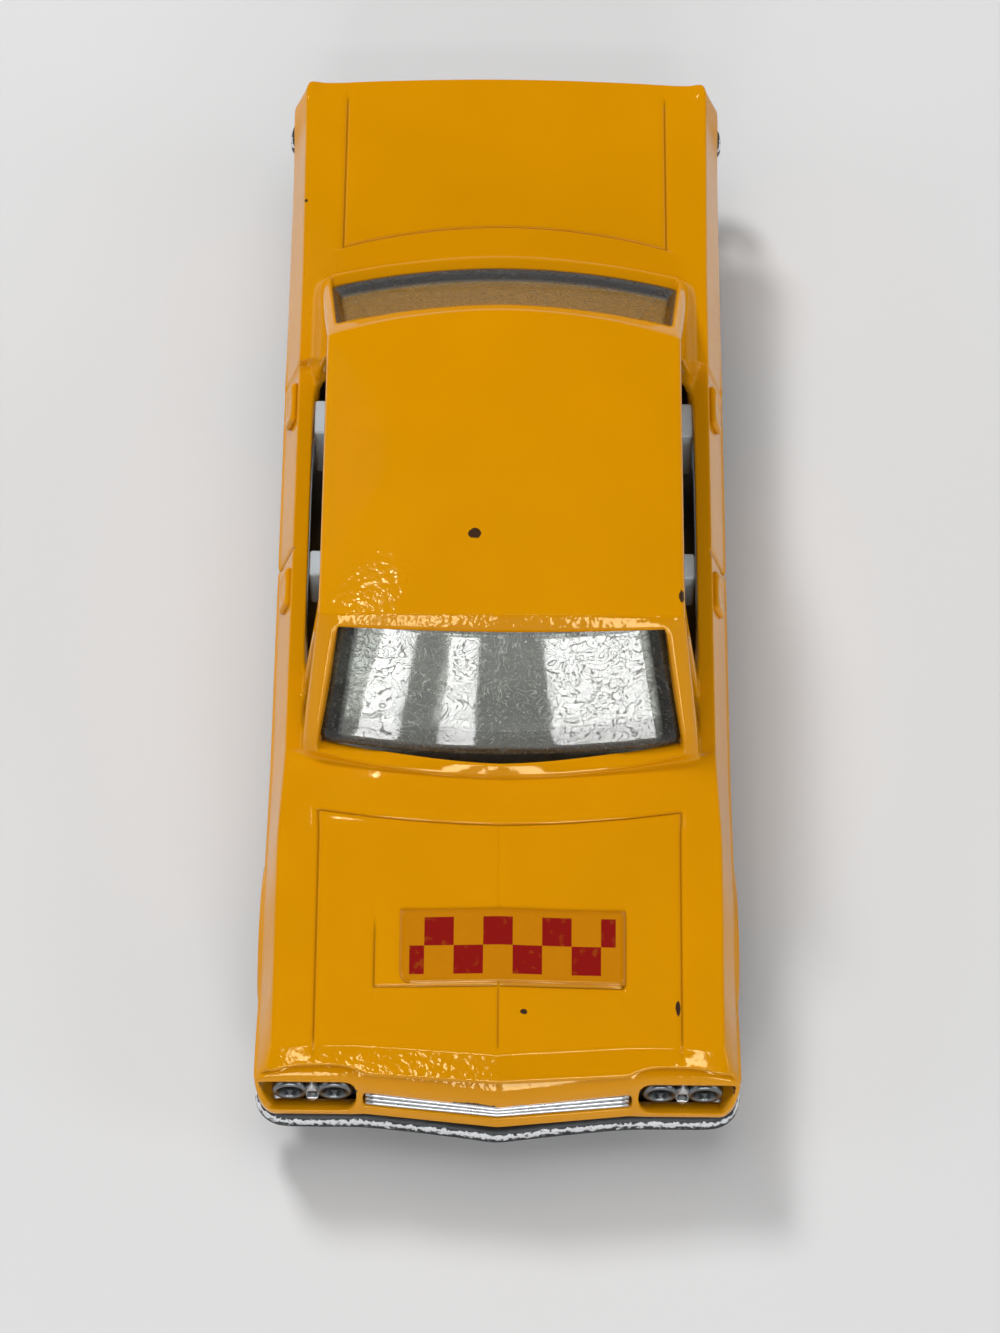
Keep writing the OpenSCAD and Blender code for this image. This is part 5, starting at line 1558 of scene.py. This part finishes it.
def clear_material(name, tint, bevel, clearness):
    """Clear polystyrene moulding, hazy with age, its face etched with fine squiggles, and painted shade on its bevelled
    edges for the dark inside seen through them.
    """
    material, tree, shader, at = new_material(name)
    swirl = add_node(tree, "ShaderNodeTexNoise", {"Scale": per_mm(1.5), "Detail": 2, "Distortion": 1.5}, Vector=at)
    turns = add_node(tree, "ShaderNodeMath", {"operation": "MULTIPLY", 1: 7.0}, _0=swirl.outputs["Fac"])
    saw = add_node(tree, "ShaderNodeMath", {"operation": "PINGPONG", 1: 0.5}, _0=turns.outputs[0])
    lines = add_node(tree, "ShaderNodeMapRange", {"From Max": 0.09, "To Min": 1, "To Max": 0}, Value=saw.outputs[0])
    wave = add_node(tree, "ShaderNodeTexNoise", {"Scale": per_mm(2.5), "Detail": 1}, Vector=at)
    wavy = add_node(tree, "ShaderNodeBump", {"Strength": 0.35, "Distance": 0.02*MM}, Height=wave.outputs["Fac"])
    bump = add_node(tree, "ShaderNodeBump", {"Strength": 0.5, "Distance": 0.03*MM}, Height=lines.outputs[0],
                    Normal=wavy.outputs[0])
    # Painted shade: the edge share mixes the dark pane-edge colour over the tint
    edge = add_node(tree, "ShaderNodeAttribute", {"attribute_name": "edge"})
    dark = add_node(tree, "ShaderNodeMix", {"data_type": "RGBA", 6: shade(tint), 7: shade(bevel)},
                    _0=edge.outputs["Fac"])
    rough = add_node(tree, "ShaderNodeMapRange", {"To Min": 0.04, "To Max": 0.4}, Value=lines.outputs[0])
    set_node(tree, shader, {"Transmission Weight": clearness, "IOR": 1.59}, Roughness=rough.outputs[0],
             Base_Color=dark.outputs[2], Normal=bump.outputs[0])
    return material


def seat_material(colours):
    """Pale blue-grey polystyrene with a soft mould sheen."""
    material, tree, shader, at = new_material("moulded_polystyrene")
    cloud = add_node(tree, "ShaderNodeTexNoise", {"Scale": per_mm(3), "Detail": 4}, Vector=at)
    dark = shade(colours.seat, 0.86)
    tint = add_node(tree, "ShaderNodeMix", {"data_type": "RGBA", 6: dark, 7: shade(colours.seat)},
                    _0=cloud.outputs["Fac"])
    grain = add_node(tree, "ShaderNodeTexNoise", {"Scale": per_mm(0.2), "Detail": 2}, Vector=at)
    bump = add_node(tree, "ShaderNodeBump", {"Strength": 0.15, "Distance": 0.03*MM}, Height=grain.outputs["Fac"])
    set_node(tree, shader, {"Roughness": 0.38, "IOR": 1.59}, Base_Color=tint.outputs[2], Normal=bump.outputs[0])
    return material


def tyre_material(colours):
    """Black polystyrene wheels: semi-matt, greyed by dust and rubbing on the tread."""
    material, tree, shader, at = new_material("black_polystyrene")
    dust = add_node(tree, "ShaderNodeTexNoise", {"Scale": per_mm(1.4), "Detail": 6}, Vector=at)
    grey = (*[c*2.6 + 0.01 for c in colours.tyre], 1)
    much = add_node(tree, "ShaderNodeMapRange", {"From Min": 0.45, "From Max": 0.8, "To Max": 0.6},
                    Value=dust.outputs["Fac"])
    tint = add_node(tree, "ShaderNodeMix", {"data_type": "RGBA", 6: shade(colours.tyre), 7: grey}, _0=much.outputs[0])
    rough = add_node(tree, "ShaderNodeMapRange", {"To Min": 0.35, "To Max": 0.6}, Value=dust.outputs["Fac"])
    set_node(tree, shader, {}, Base_Color=tint.outputs[2], Roughness=rough.outputs[0])
    return material


def steel_material(colours):
    """Drawn steel wire: bright, with fine lines round the pin."""
    material, tree, shader, at = new_material("drawn_steel")
    fine = add_node(tree, "ShaderNodeTexNoise", {"Scale": per_mm(0.3), "Detail": 3}, Vector=at)
    rough = add_node(tree, "ShaderNodeMapRange", {"To Min": 0.2, "To Max": 0.42}, Value=fine.outputs["Fac"])
    dark = shade(colours.steel, 0.7)
    tint = add_node(tree, "ShaderNodeMix", {"data_type": "RGBA", 6: dark, 7: shade(colours.steel)},
                    _0=fine.outputs["Fac"])
    set_node(tree, shader, {"Metallic": 1}, Base_Color=tint.outputs[2], Roughness=rough.outputs[0])
    return material


# Checks along and across the printed band
CHECKS = (7, 2)


def film_material(colours, s, low, high):
    """Amber label film, faintly mottled, with a dark red chequer band whose ink has thinned in specks."""
    material, tree, shader, at = new_material("printed_film")
    middle = (low + high)/2
    centred = add_node(tree, "ShaderNodeMapping", {"Location": (-middle.x, -middle.y, 0), "Scale": (1, 1, 0)},
                       Vector=at)
    checks = add_node(tree, "ShaderNodeTexChecker",
                      {"Scale": 1/s.check, "Color1": (1, 1, 1, 1), "Color2": (0, 0, 0, 1)}, Vector=centred.outputs[0])
    split = add_node(tree, "ShaderNodeSeparateXYZ", Vector=centred.outputs[0])
    bands = []
    for axis, count in zip("XY", CHECKS):
        size = add_node(tree, "ShaderNodeMath", {"operation": "ABSOLUTE"}, _0=split.outputs[axis])
        half = count/2*s.check
        bands.append(add_node(tree, "ShaderNodeMath", {"operation": "LESS_THAN", 1: half}, _0=size.outputs[0]))
    inside = add_node(tree, "ShaderNodeMath", {"operation": "MULTIPLY"}, _0=bands[0].outputs[0], _1=bands[1].outputs[0])
    ink = add_node(tree, "ShaderNodeMath", {"operation": "MULTIPLY"}, _0=inside.outputs[0], _1=checks.outputs["Fac"])
    wear = add_node(tree, "ShaderNodeTexNoise", {"Scale": per_mm(0.6), "Detail": 4}, Vector=at)
    worn = add_node(tree, "ShaderNodeMapRange", {"From Min": 0.3, "From Max": 0.42, "To Min": 0.8},
                    Value=wear.outputs["Fac"])
    print_ink = add_node(tree, "ShaderNodeMath", {"operation": "MULTIPLY"}, _0=ink.outputs[0], _1=worn.outputs[0])
    dull = shade(colours.film, 0.88)
    amber = add_node(tree, "ShaderNodeMix", {"data_type": "RGBA", 6: dull, 7: shade(colours.film)},
                     _0=wear.outputs["Fac"])
    tint = add_node(tree, "ShaderNodeMix", {"data_type": "RGBA", 7: shade(colours.print_red)},
                    _0=print_ink.outputs[0], _6=amber.outputs[2])
    set_node(tree, shader, {"Roughness": 0.12, "Specular Tint": shade(colours.gloss)}, Base_Color=tint.outputs[2])
    return material


class TAXI_OT_stage(bpy.types.Operator):
    """Set floor, lights and camera"""
    bl_idname = "taxi.stage"
    bl_label = "Stage"

    def execute(self, context):
        scene = context.scene
        scene.view_settings.view_transform = "Standard"
        build_floor(scene)
        build_lights(scene)
        build_camera(scene)
        return {"FINISHED"}


def build_floor(scene):
    """A plain pale floor, far wider than the view."""
    bm = bmesh.new()
    bmesh.ops.create_grid(bm, x_segments=1, y_segments=1, size=1.5)
    material = bpy.data.materials.new("white_paper")
    material.use_nodes = True
    shader = material.node_tree.nodes["Principled BSDF"]
    set_node(material.node_tree, shader, {"Base Color": shade(scene.taxi_colours.floor), "Roughness": 0.8})
    mesh = bpy.data.meshes.new("floor")
    bm.to_mesh(mesh)
    bm.free()
    mesh.materials.append(material)
    floor = bpy.data.objects.new("floor", mesh)
    scene.collection.objects.link(floor)


# Lights: name, direction from the car as azimuth from the nose and elevation in degrees, distance, width and height in
# metres, power in watts, and whether gloss shows them. The key is the window light from behind on the left, the top
# light and the fills lift its shadow, the three strips before the nose show in the windscreen, the high strip along
# the creases, and the glint on the roof's front corner.
LIGHTS = (("key", (-148, 51), 0.6, 0.12, 0.12, 1.9, False), ("top", (180, 83), 0.5, 0.45, 0.45, 0.87, False),
          ("right_fill", (78, 30), 0.7, 0.3, 0.3, 0.6, True), ("left_fill", (-80, 28), 0.7, 0.25, 0.25, 0.3, True),
          ("left_strip", (-13.1, 27.5), 0.5, 0.036, 0.18, 0.26, True),
          ("middle_strip", (-4.7, 24), 0.5, 0.03, 0.13, 0.14, True),
          ("right_strip", (11.8, 23), 0.5, 0.1, 0.12, 0.42, True), ("glint", (-153, 65), 0.6, 0.02, 0.02, 0.05, True),
          ("high_strip", (0, 48), 0.6, 0.2, 0.03, 0.25, True))


def build_lights(scene):
    """A studio dome and the area lights of the list, all aimed at the car."""
    world = bpy.data.worlds.new("studio")
    world.use_nodes = True
    background = world.node_tree.nodes["Background"]
    background.inputs["Color"].default_value = shade(linear("#f4f5f7"))
    # A room that is dark overhead, so that flat tops keep their own colour
    up = add_node(world.node_tree, "ShaderNodeSeparateXYZ",
                  Vector=add_node(world.node_tree, "ShaderNodeTexCoord").outputs["Generated"])
    dome = add_node(world.node_tree, "ShaderNodeMapRange",
                    {"From Min": 0.15, "From Max": 0.6, "To Min": 0.85, "To Max": 0.04}, Value=up.outputs["Z"])
    world.node_tree.links.new(dome.outputs[0], background.inputs["Strength"])
    scene.world = world
    for name, (azimuth, elevation), distance, width, height, power, shows in LIGHTS:
        data = bpy.data.lights.new(name, "AREA")
        data.shape = "RECTANGLE"
        data.size, data.size_y = width, height
        data.energy = power
        a, e = math.radians(azimuth), math.radians(elevation)
        towards = Vector((math.sin(a)*math.cos(e), -math.cos(a)*math.cos(e), math.sin(e)))
        lamp = bpy.data.objects.new(name, data)
        lamp.visible_glossy = shows
        lamp.location = towards*distance
        lamp.rotation_euler = (-towards).to_track_quat("-Z", "Y").to_euler()
        scene.collection.objects.link(lamp)


def build_camera(scene):
    """The photograph's view: 60 degrees above the nose, image 1000 by 1333 pixels."""
    image_w, image_h, focal_px = 1000, 1333, 4258
    elevation, distance, roll = math.radians(60), 283.9*MM, 0.009
    data = bpy.data.cameras.new("camera")
    data.sensor_fit = "VERTICAL"
    data.sensor_height = 24
    data.lens = focal_px/image_h*data.sensor_height
    data.clip_start = 0.01
    aim_px = (501.5 - image_w/2, image_h/2 - 634.2)
    data.shift_x = -aim_px[0]/image_h
    data.shift_y = -aim_px[1]/image_h
    camera = bpy.data.objects.new("camera", data)
    back = Vector((0, -math.cos(elevation), math.sin(elevation)))
    camera.location = back*distance
    turn = (-back).to_track_quat("-Z", "Y").to_matrix() @ Matrix.Rotation(roll, 3, "Z")
    camera.rotation_euler = turn.to_euler()
    scene.collection.objects.link(camera)
    scene.camera = camera


class TAXI_PT_panel(bpy.types.Panel):
    """Lists the steps that build the taxi"""
    bl_idname = "TAXI_PT_panel"
    bl_label = "Toy taxi"
    bl_space_type = "VIEW_3D"
    bl_region_type = "UI"
    bl_category = "Taxi"

    def draw(self, context):
        for step in STEPS:
            self.layout.operator(step.bl_idname)


SETTINGS = {"taxi_body": TaxiBodySizes, "taxi_cabin": TaxiCabinSizes, "taxi_base": TaxiBaseSizes,
            "taxi_windows": TaxiWindowSizes, "taxi_seats": TaxiSeatSizes, "taxi_wheels": TaxiWheelSizes,
            "taxi_trim": TaxiTrimSizes, "taxi_colours": TaxiColours}
STEPS = (TAXI_OT_body, TAXI_OT_base, TAXI_OT_windows, TAXI_OT_seats, TAXI_OT_wheels, TAXI_OT_label, TAXI_OT_trim,
         TAXI_OT_stage)


def register():
    """Registers settings, steps and panel."""
    for cls in (*SETTINGS.values(), *STEPS, TAXI_PT_panel):
        bpy.utils.register_class(cls)
    for name, cls in SETTINGS.items():
        setattr(bpy.types.Scene, name, PointerProperty(type=cls))


def unregister():
    """Takes settings, steps and panel out again."""
    for name in SETTINGS:
        delattr(bpy.types.Scene, name)
    for cls in reversed((*SETTINGS.values(), *STEPS, TAXI_PT_panel)):
        bpy.utils.unregister_class(cls)


def main():
    """Builds the taxi and its stage."""
    register()
    bpy.ops.taxi.body()
    bpy.ops.taxi.base()
    bpy.ops.taxi.windows()
    bpy.ops.taxi.seats()
    bpy.ops.taxi.wheels()
    bpy.ops.taxi.label()
    bpy.ops.taxi.trim()
    bpy.ops.taxi.stage()


if __name__ == "__main__":
    main()
